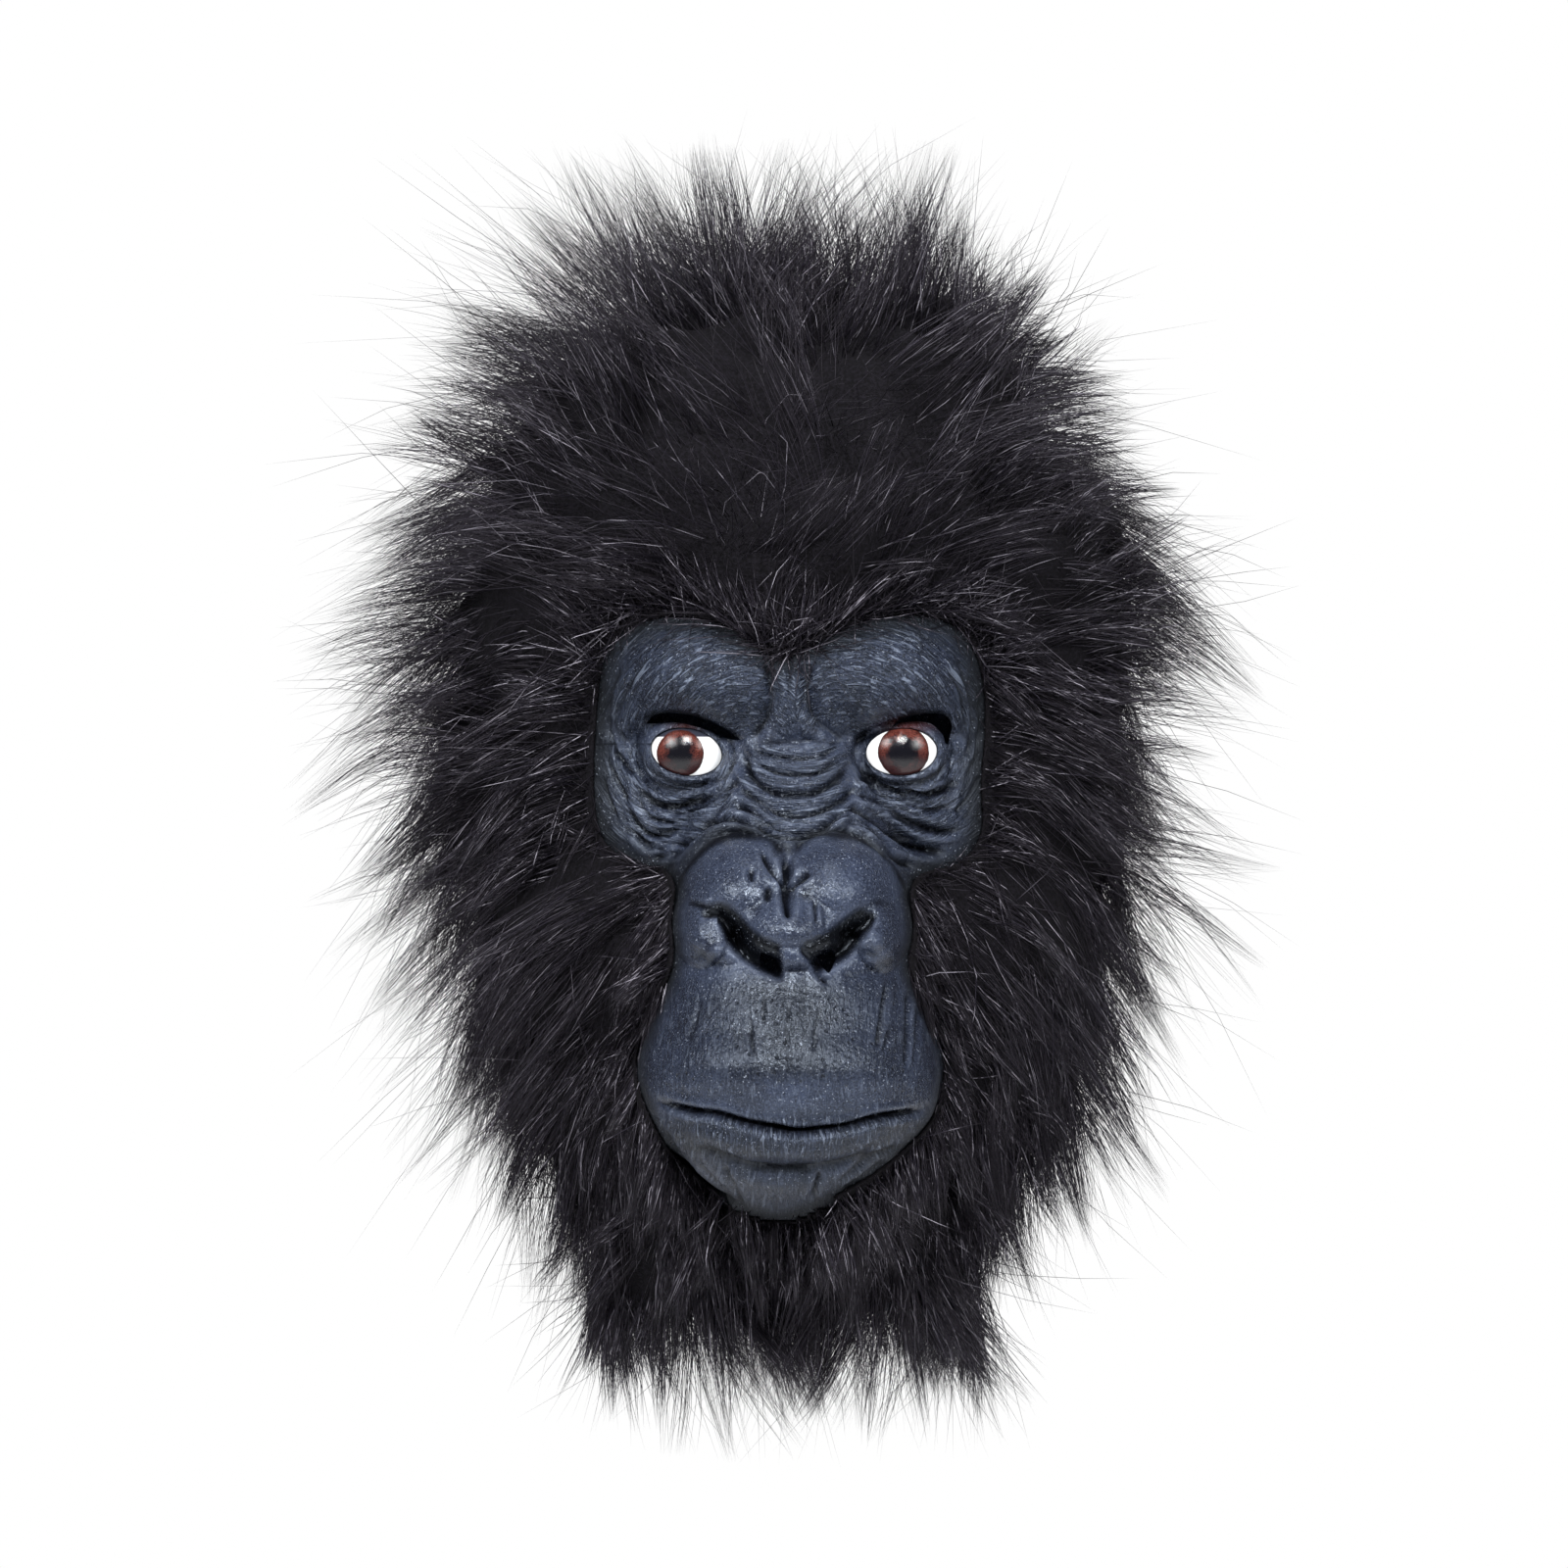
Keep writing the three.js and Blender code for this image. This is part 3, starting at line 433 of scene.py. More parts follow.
# Edges where one form stands over another. The points run to the right. The surface sinks over the first width above
# the line and over the second below it, both in pixels, a triple being the width at the first, middle and last point.
# Then come the depths in millimetres at those three points.
EDGES = {
    "lip_parting": (24, 7, (1.6, 3.4, 1.6), [
        (664, 1120), (686, 1129), (710, 1133), (732, 1135), (764, 1145), (793, 1150), (813, 1154), (834, 1152),
        (864, 1148), (895, 1139), (930, 1133), (950, 1126),
    ]),
    "nose_edge_left": (7, 6, (2.6, 4.2, 3.4), [
        (686, 936), (689, 912), (697, 893), (710, 876), (726, 861), (747, 852), (768, 853), (788, 861),
        (805, 876),
    ]),
    "nose_edge_right": (7, 6, (3.4, 4.2, 2.6), [
        (805, 876), (817, 863), (836, 855), (857, 854), (877, 859), (896, 870), (914, 889), (925, 910),
        (930, 934),
    ]),
    "nostril_left": (3, (6, 9, 10), (0.6, 1.4, 1.6), [
        (706, 927), (720, 925), (735, 922), (747, 929), (758, 940), (771, 953), (785, 962), (801, 969),
    ]),
    "nostril_right": (3, (10, 9, 6), (1.6, 1.4, 0.6), [
        (814, 968), (828, 961), (842, 954), (857, 943), (869, 934), (882, 926), (895, 920), (908, 918),
    ]),
    "brow_edge_left": (4, 9, (1.0, 3.2, 1.6), [
        (652, 742), (664, 731), (682, 727), (702, 729), (722, 736), (742, 746), (762, 758),
    ]),
    "brow_edge_right": (4, 9, (1.4, 3.0, 1.4), [
        (866, 758), (888, 750), (906, 741), (924, 732), (942, 728), (960, 729), (974, 740),
    ]),
    "wing_fold_right": (5, 12, (0.8, 1.3, 0.8), [(856, 996), (874, 992), (892, 988), (908, 980), (922, 962)]),
    "wing_fold_left": (5, 12, (0.8, 1.2, 0.5), [(690, 950), (700, 966), (716, 974), (734, 976)]),
}
# Bulges: middle and half sizes in pixels, height in millimetres, power of the fall towards the rim
SWELLINGS = [
    (805, 938, 38, 28, 3.4, 1.2),
    (742, 890, 52, 40, 2.6, 1.2),
    (866, 890, 54, 40, 2.6, 1.2),
    (704, 952, 20, 28, 2.6, 1.2),
    (906, 954, 22, 30, 2.6, 1.2),
    (740, 972, 22, 12, 2.4, 1.2),
    (888, 960, 18, 14, 2.6, 1.2),
    (808, 992, 16, 28, 1.0, 1.5),
    (806, 1045, 24, 44, 1.4, 1.5),
    (735, 1085, 90, 34, 1.6, 1.5),
    (870, 1085, 90, 34, 1.6, 1.5),
    (735, 1160, 66, 16, 1.7, 1.3),
    (805, 1168, 52, 15, 2.0, 1.3),
    (872, 1158, 66, 16, 1.7, 1.3),
    (794, 1214, 48, 22, 2.0, 1.5),
    (690, 700, 46, 34, 3.2, 1.5),
    (948, 698, 46, 34, 3.2, 1.5),
    (744, 708, 34, 42, 2.2, 1.4),
    (882, 708, 36, 42, 2.6, 1.4),
    (805, 700, 16, 44, 1.4, 1.4),
    (690, 661, 60, 28, 1.2, 1.5),
    (925, 661, 60, 28, 1.2, 1.5),
]
# Nostrils: middle, half length and half width in pixels, turn in degrees clockwise; then, at four places along the
# upper edge, the width of the hollow below it in pixels and its depth in millimetres
NOSTRILS = {
    "left": (766, 958, 56, 27, 37, (10, 22, 32, 36), (1.6, 4.0, 6.2, 6.2)),
    "right": (850, 962, 50, 32, -38, (38, 36, 27, 10), (6.2, 6.0, 4.0, 1.6)),
}
# places along a nostril's upper edge, as shares of its length
NOSTRIL_STATIONS = (0, 0.35, 0.65, 1)
# the rubber rises and then sinks round an eye: millimetres beyond the eye's edge, and how far
LID_RIM = (1.1, 1.0)
LID_GROOVE = (3.2, 0.9)
EYE_HALF_WIDTH, EYE_HALF_HEIGHT = 11.2, 7.4
EYE_TILT = {"left": -0.17, "right": 0.06}


def curve_through(points, steps=6):
    """A Catmull-Rom curve through a table's points, all columns alike."""
    rows = np.array(points, float)
    rows = np.vstack([2 * rows[0] - rows[1], rows, 2 * rows[-1] - rows[-2]])
    t = np.linspace(0, 1, steps, endpoint=False)[:, None]
    parts = []
    for a, b, c, d in zip(rows[:-3], rows[1:-2], rows[2:-1], rows[3:]):
        parts.append(0.5 * (2 * b + (c - a) * t + (2 * a - 5 * b + 4 * c - d) * t**2 + (3 * b - a - 3 * c + d) * t**3))
    return np.vstack([*parts, rows[-2:-1]])


def nearest_on(across, down, path):
    """Distance to a path, positive below it, and the share of its length where the nearest point is."""
    best = np.full(across.shape, 1e9)
    share = np.zeros(across.shape)
    side = np.ones(across.shape)
    steps = np.hypot(*np.diff(path[:, :2], axis=0).T)
    begun = np.concatenate([[0], np.cumsum(steps)]) / steps.sum()
    for k in range(len(path) - 1):
        (ax, ay), (bx, by) = path[k, :2], path[k + 1, :2]
        t = ((across - ax) * (bx - ax) + (down - ay) * (by - ay)) / max(steps[k] ** 2, 1e-9)
        t = np.clip(t, 0, 1)
        distance = np.hypot(across - ax - t * (bx - ax), down - ay - t * (by - ay))
        closer = distance < best
        best = np.where(closer, distance, best)
        share = np.where(closer, begun[k] + t * (begun[k + 1] - begun[k]), share)
        side = np.where(closer, np.sign((bx - ax) * (down - ay) - (by - ay) * (across - ax)), side)
    return best * side, share


def close_to(across, down, path, margin):
    low, high = path[:, :2].min(0) - margin, path[:, :2].max(0) + margin
    return (across > low[0]) & (across < high[0]) & (down > low[1]) & (down < high[1])


def lesser_folds():
    """Fine companions beside each of the folds round the eyes and over the bridge, broken and unequal."""
    random = np.random.default_rng(21)
    made = []
    for name, (width, depth, points) in FOLDS.items():
        if not name.startswith(("bridge", "eye", "temple", "lid")):
            continue
        rows = curve_through(points, 3)
        along = np.gradient(rows, axis=0)
        normal = np.stack([-along[:, 1], along[:, 0]], -1) / np.linalg.norm(along, axis=1, keepdims=True)
        for side in (-1, 1):
            third = len(rows) // 3
            first, last = random.integers(0, third + 1), random.integers(2 * len(rows) // 3, len(rows)) + 1
            gap = side * random.uniform(4.5, 8.0) + np.linspace(0, random.uniform(-2.5, 2.5), len(rows))
            shifted = rows + normal * gap[:, None] + random.normal(0, 0.5, rows.shape)
            made.append((random.uniform(1.7, 2.4), depth * random.uniform(0.3, 0.5), shifted[first:last]))
    return made


def in_nostril(across, down, side):
    """0 in the middle of a nostril, 1 at its rim, and more outside."""
    middle_x, middle_y, half_length, half_width, turn = NOSTRILS[side][:5]
    c, s = math.cos(math.radians(turn)), math.sin(math.radians(turn))
    right, low = across - middle_x, down - middle_y
    return np.hypot((right * c + low * s) / half_length, (low * c - right * s) / half_width)


def nostril_rim(across, down, side):
    """1 inside a nostril, 0 outside it and on the wall of rubber between the two."""
    between = (797 - across) if side == "left" else (across - 819 - 0.7 * np.clip(down - 968, 0, 40))
    return (1 - smooth_step(0.85, 1.15, in_nostril(across, down, side))) * smooth_step(-5, 5, between)


def cut_folds(across, down):
    """Millimetres that the folds add along the surface's normal."""
    added = np.zeros(across.shape)
    sideways = np.sin(across * 0.09 + 1.3 * np.sin(down * 0.07))
    uneven = 0.5 + 0.5 * sideways * np.sin(down * 0.11 + 1.7 * np.sin(across * 0.05))
    for width, depth, points in list(FOLDS.values()) + lesser_folds():
        path = curve_through(points)
        here = close_to(across, down, path, width * 6)
        distance, share = nearest_on(across[here], down[here], path)
        distance = np.abs(distance)
        ends = smooth_step(0, 0.14, share) * smooth_step(0, 0.14, 1 - share)
        dent = np.exp(-((distance / width) ** 1.3))
        ridge = np.exp(-(((distance - 2.4 * width) / (1.3 * width)) ** 2))
        strength = depth * (0.75 + 0.5 * uneven[here]) * (0.1 + 0.9 * ends) * (ends > 0)
        added[here] += strength * (0.42 * ridge - 1.5 * dent)
    return added


def model_forms(x, z, across, down):
    """Millimetres that edges, bulges, nostrils and lids add straight forwards, so no deep form folds over itself."""
    added = np.zeros(across.shape)
    for middle_x, middle_y, half_x, half_y, height, power in SWELLINGS:
        share = 1 - ((across - middle_x) / half_x) ** 2 - ((down - middle_y) / half_y) ** 2
        added += height * np.maximum(share, 0) ** power
    for side, (*_, widths, depths) in NOSTRILS.items():
        distance, share = nearest_on(across, down, curve_through(EDGES["nostril_" + side][3]))
        part = np.clip(distance / np.interp(share, NOSTRIL_STATIONS, widths), 0, 1)
        hollow_share = smooth_step(0, 1, np.minimum(part / 0.66, (1 - part) / 0.34))
        added -= np.interp(share, NOSTRIL_STATIONS, depths) * hollow_share * nostril_rim(across, down, side)
    for above, below, depths, points in EDGES.values():
        path = curve_through(points)
        here = close_to(across, down, path, 70)
        distance, share = nearest_on(across[here], down[here], path)
        ends = smooth_step(0, 0.1, share) * smooth_step(0, 0.1, 1 - share)
        width = np.where(distance < 0, above, np.interp(share, (0, 0.5, 1), np.broadcast_to(below, 3)))
        power = 1.7 if above < np.max(below) else 1.3
        added[here] -= np.interp(share, (0, 0.5, 1), depths) * ends * np.exp(-((np.abs(distance) / width) ** power))
    for side, (eye_x, eye_z) in EYES.items():
        c, s = math.cos(EYE_TILT[side]), math.sin(EYE_TILT[side])
        u, v = (x - eye_x) * c + (z - eye_z) * s, (z - eye_z) * c - (x - eye_x) * s
        beyond = (np.hypot(u / EYE_HALF_WIDTH, v / EYE_HALF_HEIGHT) - 1) * 0.5 * (EYE_HALF_WIDTH + EYE_HALF_HEIGHT)
        added += LID_RIM[1] * np.exp(-(((beyond - LID_RIM[0]) / 0.9) ** 2))
        added -= LID_GROOVE[1] * np.exp(-(((beyond - LID_GROOVE[0]) / 0.75) ** 2))
    return added


in_front = fine[..., 1] < -20
folds = np.where(in_front, cut_folds(*picture), 0)
forms = np.where(in_front, model_forms(fine[..., 0], fine[..., 2], *picture), 0)
carved = folds + forms
print("folds cut:", len(FOLDS), "deepest", round(float(-carved.min()), 1), "mm")

# %% Edge of the fur round the face
OPENING = [
    (612, 700), (622, 660), (652, 637), (698, 630), (745, 642), (775, 664), (800, 672), (826, 662), (856, 645),
    (900, 631), (948, 630), (984, 648), (1001, 690), (1004, 740), (1000, 800), (1000, 850), (978, 880), (938, 892),
    (928, 915), (932, 950), (926, 985), (936, 1012), (954, 1045), (964, 1080), (961, 1115), (950, 1145), (905, 1187),
    (855, 1218), (815, 1238), (792, 1242), (770, 1236), (730, 1218), (692, 1185), (670, 1152), (656, 1122),
    (649, 1096), (652, 1070), (668, 1030), (688, 985), (686, 940), (690, 908), (680, 888), (650, 880), (622, 864),
    (610, 836), (607, 780),
]


def outside_by(across, down):
    """Pixels by which a point lies outside the face opening, negative inside it."""
    path = curve_through(OPENING + OPENING[:1], 3)
    distance = np.abs(nearest_on(across, down, path)[0])
    inside = np.zeros(across.shape, bool)
    for (ax, ay), (bx, by) in zip(path[:-1], path[1:]):
        crosses = (ay > down) != (by > down)
        level = np.where(crosses, (bx - ax) * (down - ay) / (by - ay if by != ay else 1) + ax, -1e9)
        inside ^= crosses & (across < level)
    return np.where(inside, -distance, distance)


def shade_at_edge(across, down):
    """Painted shade where fur hangs over the rubber: 1 there, fading inwards; narrow at the muzzle and chin, wide at
    brows and temples.
    """
    reach = 16 + 14 * (1 - smooth_step(860, 930, down))
    return 1 - smooth_step(0, 1, -outside_by(across, down) / reach)


# %% [markdown]
# ## Painted shade in the creases, painted highlights on the ridges
# The grooves of the casting get painted shade and its ridges a painted highlight. Both are found from the carving
# itself: what lies under the average of its surroundings is a hollow, what stands above is a ridge. Other masks say
# where fine lines show and which way they run, where pores are, where painted shade lies at the fur's edge, over the
# nose and on the lower face, and where deep painted shade fills the nostrils and the middle of the upper lip. All are
# kept as attributes of the points for the material.

# %% Masks that go with the surface
def blurred(values, reach):
    """A soft average over a number of rows and columns."""
    window = np.hanning(2 * reach + 3)[1:-1]
    window /= window.sum()
    for axis in (0, 1):
        pad = [(0, 0), (0, 0)]
        pad[axis] = (reach, reach)
        values = np.apply_along_axis(np.convolve, axis, np.pad(values, pad, mode="edge"), window, mode="valid")
    return values


hollow = np.maximum(blurred(carved, 7), blurred(carved, 3)) - carved
across, down = picture


def turned(centre_across, centre_down):
    """Reach and angle of each point round a pixel, both in metres, the angle measured at a reach of 12 mm."""
    right, low = across - centre_across, down - centre_down
    return np.hypot(right, low) * PIXEL * MM, np.arctan2(low, right) * 12 * MM


def swept(centre_across, centre_down, mirrored):
    """Lines that fan out from the inner corner of an eye and bend round the brow: crosswise, then lengthwise."""
    right, low = (across - centre_across) * mirrored, down - centre_down
    reach = np.hypot(right, low) * PIXEL * MM
    return np.arctan2(low, right) * 22 * MM + 0.9 * reach, reach


def nostril_painted_shade():
    """Painted shade inside the nostrils: 1 there, crisp at the upper edge and soft at the lower one."""
    dark = np.zeros(across.shape)
    for side, nostril in NOSTRILS.items():
        distance, share = nearest_on(across, down, curve_through(EDGES["nostril_" + side][3]))
        strip = 1 - smooth_step(0.62, 1.0, distance / np.interp(share, NOSTRIL_STATIONS, nostril[5]))
        dark = np.maximum(dark, strip * nostril_rim(across, down, side) * smooth_step(-5, 2, distance))
    return dark


def above_nose():
    """Painted shade in the valley between the nose and the folds over it: 1 there."""
    valley = np.zeros(across.shape)
    for name in ("nose_edge_left", "nose_edge_right"):
        distance, share = nearest_on(across, down, curve_through(EDGES[name][3]))
        ends = smooth_step(0, 0.1, share) * smooth_step(0, 0.02, 1 - share)
        valley = np.maximum(valley, ends * np.exp(-(((distance + 6) / 6) ** 2)))
    return valley


def band(begins, full, fades, ends):
    """1 between two heights of the photograph, fading above and below them."""
    return smooth_step(begins, full, down) * (1 - smooth_step(fades, ends, down))


def spot(middle_across, middle_down, half_across, half_down):
    """1 at a pixel of the photograph, fading in an ellipse round it."""
    return np.exp(-(((across - middle_across) / half_across) ** 2) - ((down - middle_down) / half_down) ** 2)


# Fine lines run round the eyes, fan out over the brows and curve over the bridge; the nose and lip have straight ones
MIDLINE = 812
BRIDGE_HALF_WIDTH = 58
BROW_BORDER = 752
NOSE_TOP = 868
left_half = across < MIDLINE
round_eye = [np.where(left_half, a, b) for a, b in zip(turned(700, 760), turned(922, 760))]
from_corner = [np.where(left_half, a, b) for a, b in zip(swept(766, 772, 1), swept(862, 772, -1))]
round_bridge = turned(MIDLINE, 670)
border = BROW_BORDER + 6 * np.sin(across * 0.11) + 4 * np.sin(across * 0.23)
off_midline = np.abs(across - MIDLINE + 4 * np.sin(down * 0.12))
brow_side, between, nose_side = down < border, off_midline < BRIDGE_HALF_WIDTH, down > NOSE_TOP
crosswise, lengthwise = (
    np.where(brow_side, from_corner[way], np.where(between, round_bridge[1 - way], round_eye[1 - way]))
    for way in (1, 0)
)
far_from_border = smooth_step(0, 14, np.abs(down - border)) * smooth_step(
    0, 10, np.abs(off_midline - BRIDGE_HALF_WIDTH) + 20 * brow_side
)
on_folds = (1 - smooth_step(845, NOSE_TOP, down)) * far_from_border * np.where(brow_side, 1.0, 0.8)
on_lip = band(1136, 1148, 1174, 1190)
lip_and_chin = 0.3 * smooth_step(985, 1030, down) + 0.3 * smooth_step(1185, 1205, down)
# painted shade on the middle of the upper lip
under_nose_painted_shade = 0.76 * np.exp(-(((across - 806) / 92) ** 2)) * band(985, 1012, 1088, 1112)
# painted shade, darker towards the lower lip and chin
lower_face_painted_shade = 0.24 * smooth_step(1125, 1150, down) + 0.14 * smooth_step(1180, 1205, down)
masks = {
    # painted shade in the creases of the carving
    "crease": np.clip((hollow - 0.12) / 0.85, 0, 1) ** 0.8,
    # painted highlight on the ridges of the carving
    "ridge": np.clip((-hollow - 0.05) / 0.6, 0, 1),
    "crosswise": np.where(nose_side, fine[..., 0] * MM, crosswise),
    "lengthwise": np.where(nose_side, fine[..., 2] * MM, lengthwise),
    "lined": (on_folds + 1.1 * on_lip + lip_and_chin * (1 - on_lip)) * in_front,
    "stain": (spot(700, 741, 15, 5) + spot(926, 741, 22, 7)) * in_front,
    "pores": band(985, 1050, 1108, 1126) * in_front,
    "dim": np.maximum(nostril_painted_shade(), under_nose_painted_shade) * in_front,
    "shade": np.maximum.reduce([shade_at_edge(across, down), 0.75 * above_nose(), lower_face_painted_shade]) * in_front,
}
print("masks:", list(masks))

# %% [markdown]
# ## The casting
# The grid is wrapped round the head and sewn, closed under the neck, and hollowed with a second, coarser form that
# keeps the wall a couple of millimetres thick. The openings for the eyes, the two sight slits and a small breathing
# hole in each nostril are cut last, so their edges show the thickness of the rubber.

# %% Helpers for meshes made by hand
def pick_only(thing):
    bpy.ops.object.select_all(action="DESELECT")
    thing.select_set(True)
    bpy.context.view_layer.objects.active = thing


def edit(thing):
    pick_only(thing)
    bpy.ops.object.mode_set(mode="EDIT")
    bpy.ops.mesh.select_all(action="SELECT")


def leave():
    bpy.ops.object.mode_set(mode="OBJECT")


def grid_of(name, points):
    """A grid primitive with each of its points moved to its place, given in millimetres."""
    rows, columns = points.shape[:2]
    bpy.ops.object.select_all(action="DESELECT")
    bpy.ops.mesh.primitive_grid_add(x_subdivisions=columns - 1, y_subdivisions=rows - 1, size=1, location=(0, 0, 0))
    thing = bpy.context.object
    thing.name = name
    place = np.empty(len(thing.data.vertices) * 3)
    thing.data.vertices.foreach_get("co", place)
    place = place.reshape(-1, 3)
    column = np.rint((place[:, 0] + 0.5) * (columns - 1)).astype(int)
    row = np.rint((place[:, 1] + 0.5) * (rows - 1)).astype(int)
    thing.data.vertices.foreach_set("co", (points[row, column] * MM).ravel())
    thing.data.update()
    return thing, row, column


def sew(thing, gap=2e-6):
    """Joins the grid's first and last columns, closes its ends and turns its faces outwards."""
    edit(thing)
    bpy.ops.mesh.remove_doubles(threshold=gap)
    bpy.ops.mesh.select_all(action="DESELECT")
    bpy.ops.mesh.select_mode(type="EDGE")
    bpy.ops.mesh.select_non_manifold(extend=False)
    bpy.ops.mesh.edge_face_add()
    bpy.ops.mesh.select_all(action="SELECT")
    bpy.ops.mesh.normals_make_consistent(inside=False)
    bpy.ops.mesh.select_mode(type="VERT")
    leave()


def cut(thing, cutter):
    """Takes a closed cutter out of a closed piece."""
    pick_only(thing)
    knife = thing.modifiers.new("cut", "BOOLEAN")
    knife.operation = "DIFFERENCE"
    knife.solver = "MANIFOLD"
    knife.object = cutter
    bpy.ops.object.modifier_apply(modifier=knife.name)
    bpy.data.objects.remove(cutter)


def prism(name, outline, near, far):
    """A closed bar along Y whose section is an outline of (x, z) points in millimetres."""
    bpy.ops.object.select_all(action="DESELECT")
    bpy.ops.mesh.primitive_circle_add(vertices=len(outline), radius=1, fill_type="NGON", location=(0, 0, 0))
    bar = bpy.context.object
    bar.name = name
    for vertex, (x, z) in zip(bar.data.vertices, outline):
        vertex.co = (x * MM, near * MM, z * MM)
    edit(bar)
    bpy.ops.mesh.extrude_region_move(TRANSFORM_OT_translate={"value": (0, (far - near) * MM, 0)})
    bpy.ops.mesh.select_all(action="SELECT")
    bpy.ops.mesh.normals_make_consistent(inside=False)
    leave()
    return bar


# %% Outside and hollow
skin = fine + fine_normals * folds[..., None] - np.array([0, 1, 0]) * forms[..., None]
rubber_head_cast, grid_row, grid_column = grid_of("rubber_head_cast", skin)
sew(rubber_head_cast)

coarse_rows = row_heights(12, 46, 6, 3)
inner = head_points(coarse_rows, 60, 20)
ahead = inner[..., 1] < -1
front_skin = skin[skin[..., 1] < 4]
flat = kdtree.KDTree(len(front_skin))
for i, (x, _, z) in enumerate(front_skin):
    flat.insert((x, 0, z), i)
flat.balance()
least = np.zeros(inner.shape[:2])
for i, k in zip(*np.nonzero(ahead)):
    x, _, z = inner[i, k]
    reach = 4.5 * (1 - smooth_step(52, 64, abs(x))) + 0.8
    found = [front_skin[j, 1] for _, j, _ in flat.find_range((x, 0, z), reach)] or [inner[i, k, 1]]
    least[i, k] = -max(found)
room = 1 - WALL / np.maximum(skull_section(inner[..., 2])[0], 30)
inner[..., 0] *= room
inner[..., 1] = np.where(ahead, -(least - WALL), inner[..., 1] * room)
lowered = WIDEST + (inner[..., 2] - WIDEST) * CROWN_DROP / (CROWN_DROP + WALL)
inner[..., 2] = np.where(inner[..., 2] > WIDEST, lowered, inner[..., 2])
inner[-1, :, 2] -= WALL
hollow_form, _, _ = grid_of("hollow_form", inner)
sew(hollow_form)
cut(rubber_head_cast, hollow_form)
print("casting:", len(rubber_head_cast.data.polygons), "faces after hollowing")

# %% Eye openings, sight slits and breathing holes
# in pixels; a slit has its upper edge, then its lower one
SLITS = {
    "left": (
        [(658, 738), (666, 730), (680, 727), (697, 728), (716, 733), (731, 739), (743, 746), (756, 755)],
        [(748, 755), (735, 751), (722, 745), (709, 741), (697, 738), (684, 737), (673, 738), (664, 738)],
    ),
    "right": (
        [(909, 743), (920, 733), (935, 729), (950, 727), (962, 728), (970, 733), (973, 741), (971, 750), (969, 760)],
        [(965, 758), (963, 750), (957, 743), (950, 738), (938, 736), (920, 737)],
    ),
}
BREATHING_HOLES = [
    [(777, 970), (784, 972), (790, 975), (793, 980), (792, 986), (788, 989), (782, 987), (778, 982), (775, 976)],
    [(832, 974), (838, 970), (845, 967), (851, 969), (852, 976), (849, 984), (845, 990), (840, 986), (835, 981)],
]


def eye_outline(side, inset, count=72):
    x, z = EYES[side]
    turn = np.linspace(0, 2 * math.pi, count, endpoint=False)
    u, v = (EYE_HALF_WIDTH - inset) * np.cos(turn), (EYE_HALF_HEIGHT - inset) * np.sin(turn)
    tilt = EYE_TILT[side]
    return np.stack([x + u * math.cos(tilt) - v * math.sin(tilt), z + u * math.sin(tilt) + v * math.cos(tilt)], -1)


for side, (upper, lower) in SLITS.items():
    cut(rubber_head_cast, prism("eye_cutter", eye_outline(side, 0), -150, -70))
    edge = np.vstack([curve_through(upper, 4), curve_through(lower, 4)])
    place = from_picture(edge[:, 0], edge[:, 1], -100.0)
    cut(rubber_head_cast, prism("slit_cutter", place[:, [0, 2]], -150, -60))
for outline in BREATHING_HOLES:
    edge = curve_through(outline + outline[:1], 3)[:-1]
    place = from_picture(edge[:, 0], edge[:, 1], -108.0)
    cut(rubber_head_cast, prism("hole_cutter", place[:, [0, 2]], -150, -60))
print("casting:", len(rubber_head_cast.data.vertices), "points with eyes, slits and breathing holes cut")

# %% Masks on the finished casting
MASK_REACH = 1.2 * MM
tree = kdtree.KDTree(skin.shape[0] * skin.shape[1])
for i, point in enumerate(skin.reshape(-1, 3) * MM):
    tree.insert(point, i)
tree.balance()
nearest = np.array([tree.find(v.co)[1:] for v in rubber_head_cast.data.vertices])
source, away = nearest[:, 0].astype(int), nearest[:, 1]
for name, values in masks.items():
    layer = rubber_head_cast.data.attributes.new(name, "FLOAT", "POINT")
    layer.data.foreach_set("value", np.where(away < MASK_REACH, values.ravel()[source], 0).astype(np.float32))
pick_only(rubber_head_cast)
bpy.ops.object.shade_smooth_by_angle(angle=math.radians(55))
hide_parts("rubber_head")
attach(rubber_head_cast, "root")
triangles = sum(len(p.vertices) - 2 for p in rubber_head_cast.data.polygons)
print("rubber_head_cast:", triangles, "triangles")

# %% [markdown]
# ## Eyes
# Each eye is a moulded dome set behind the lids, painted and then dipped in clear gloss. A square grid is pushed to an
# ellipse and raised to the dome, with a slight second rise over the iris that catches the lamps on its own.

# %% Domes
# the middle of the iris in pixels; its radius and the height where the lid begins above that middle, in millimetres
IRIS = {"left": (694, 769), "right": (922, 767)}
IRIS_RADIUS = {"left": 7.3, "right": 7.9}
LID_LEVEL = {"left": 5.0, "right": 6.0}
EYE_DEPTH = 3.0


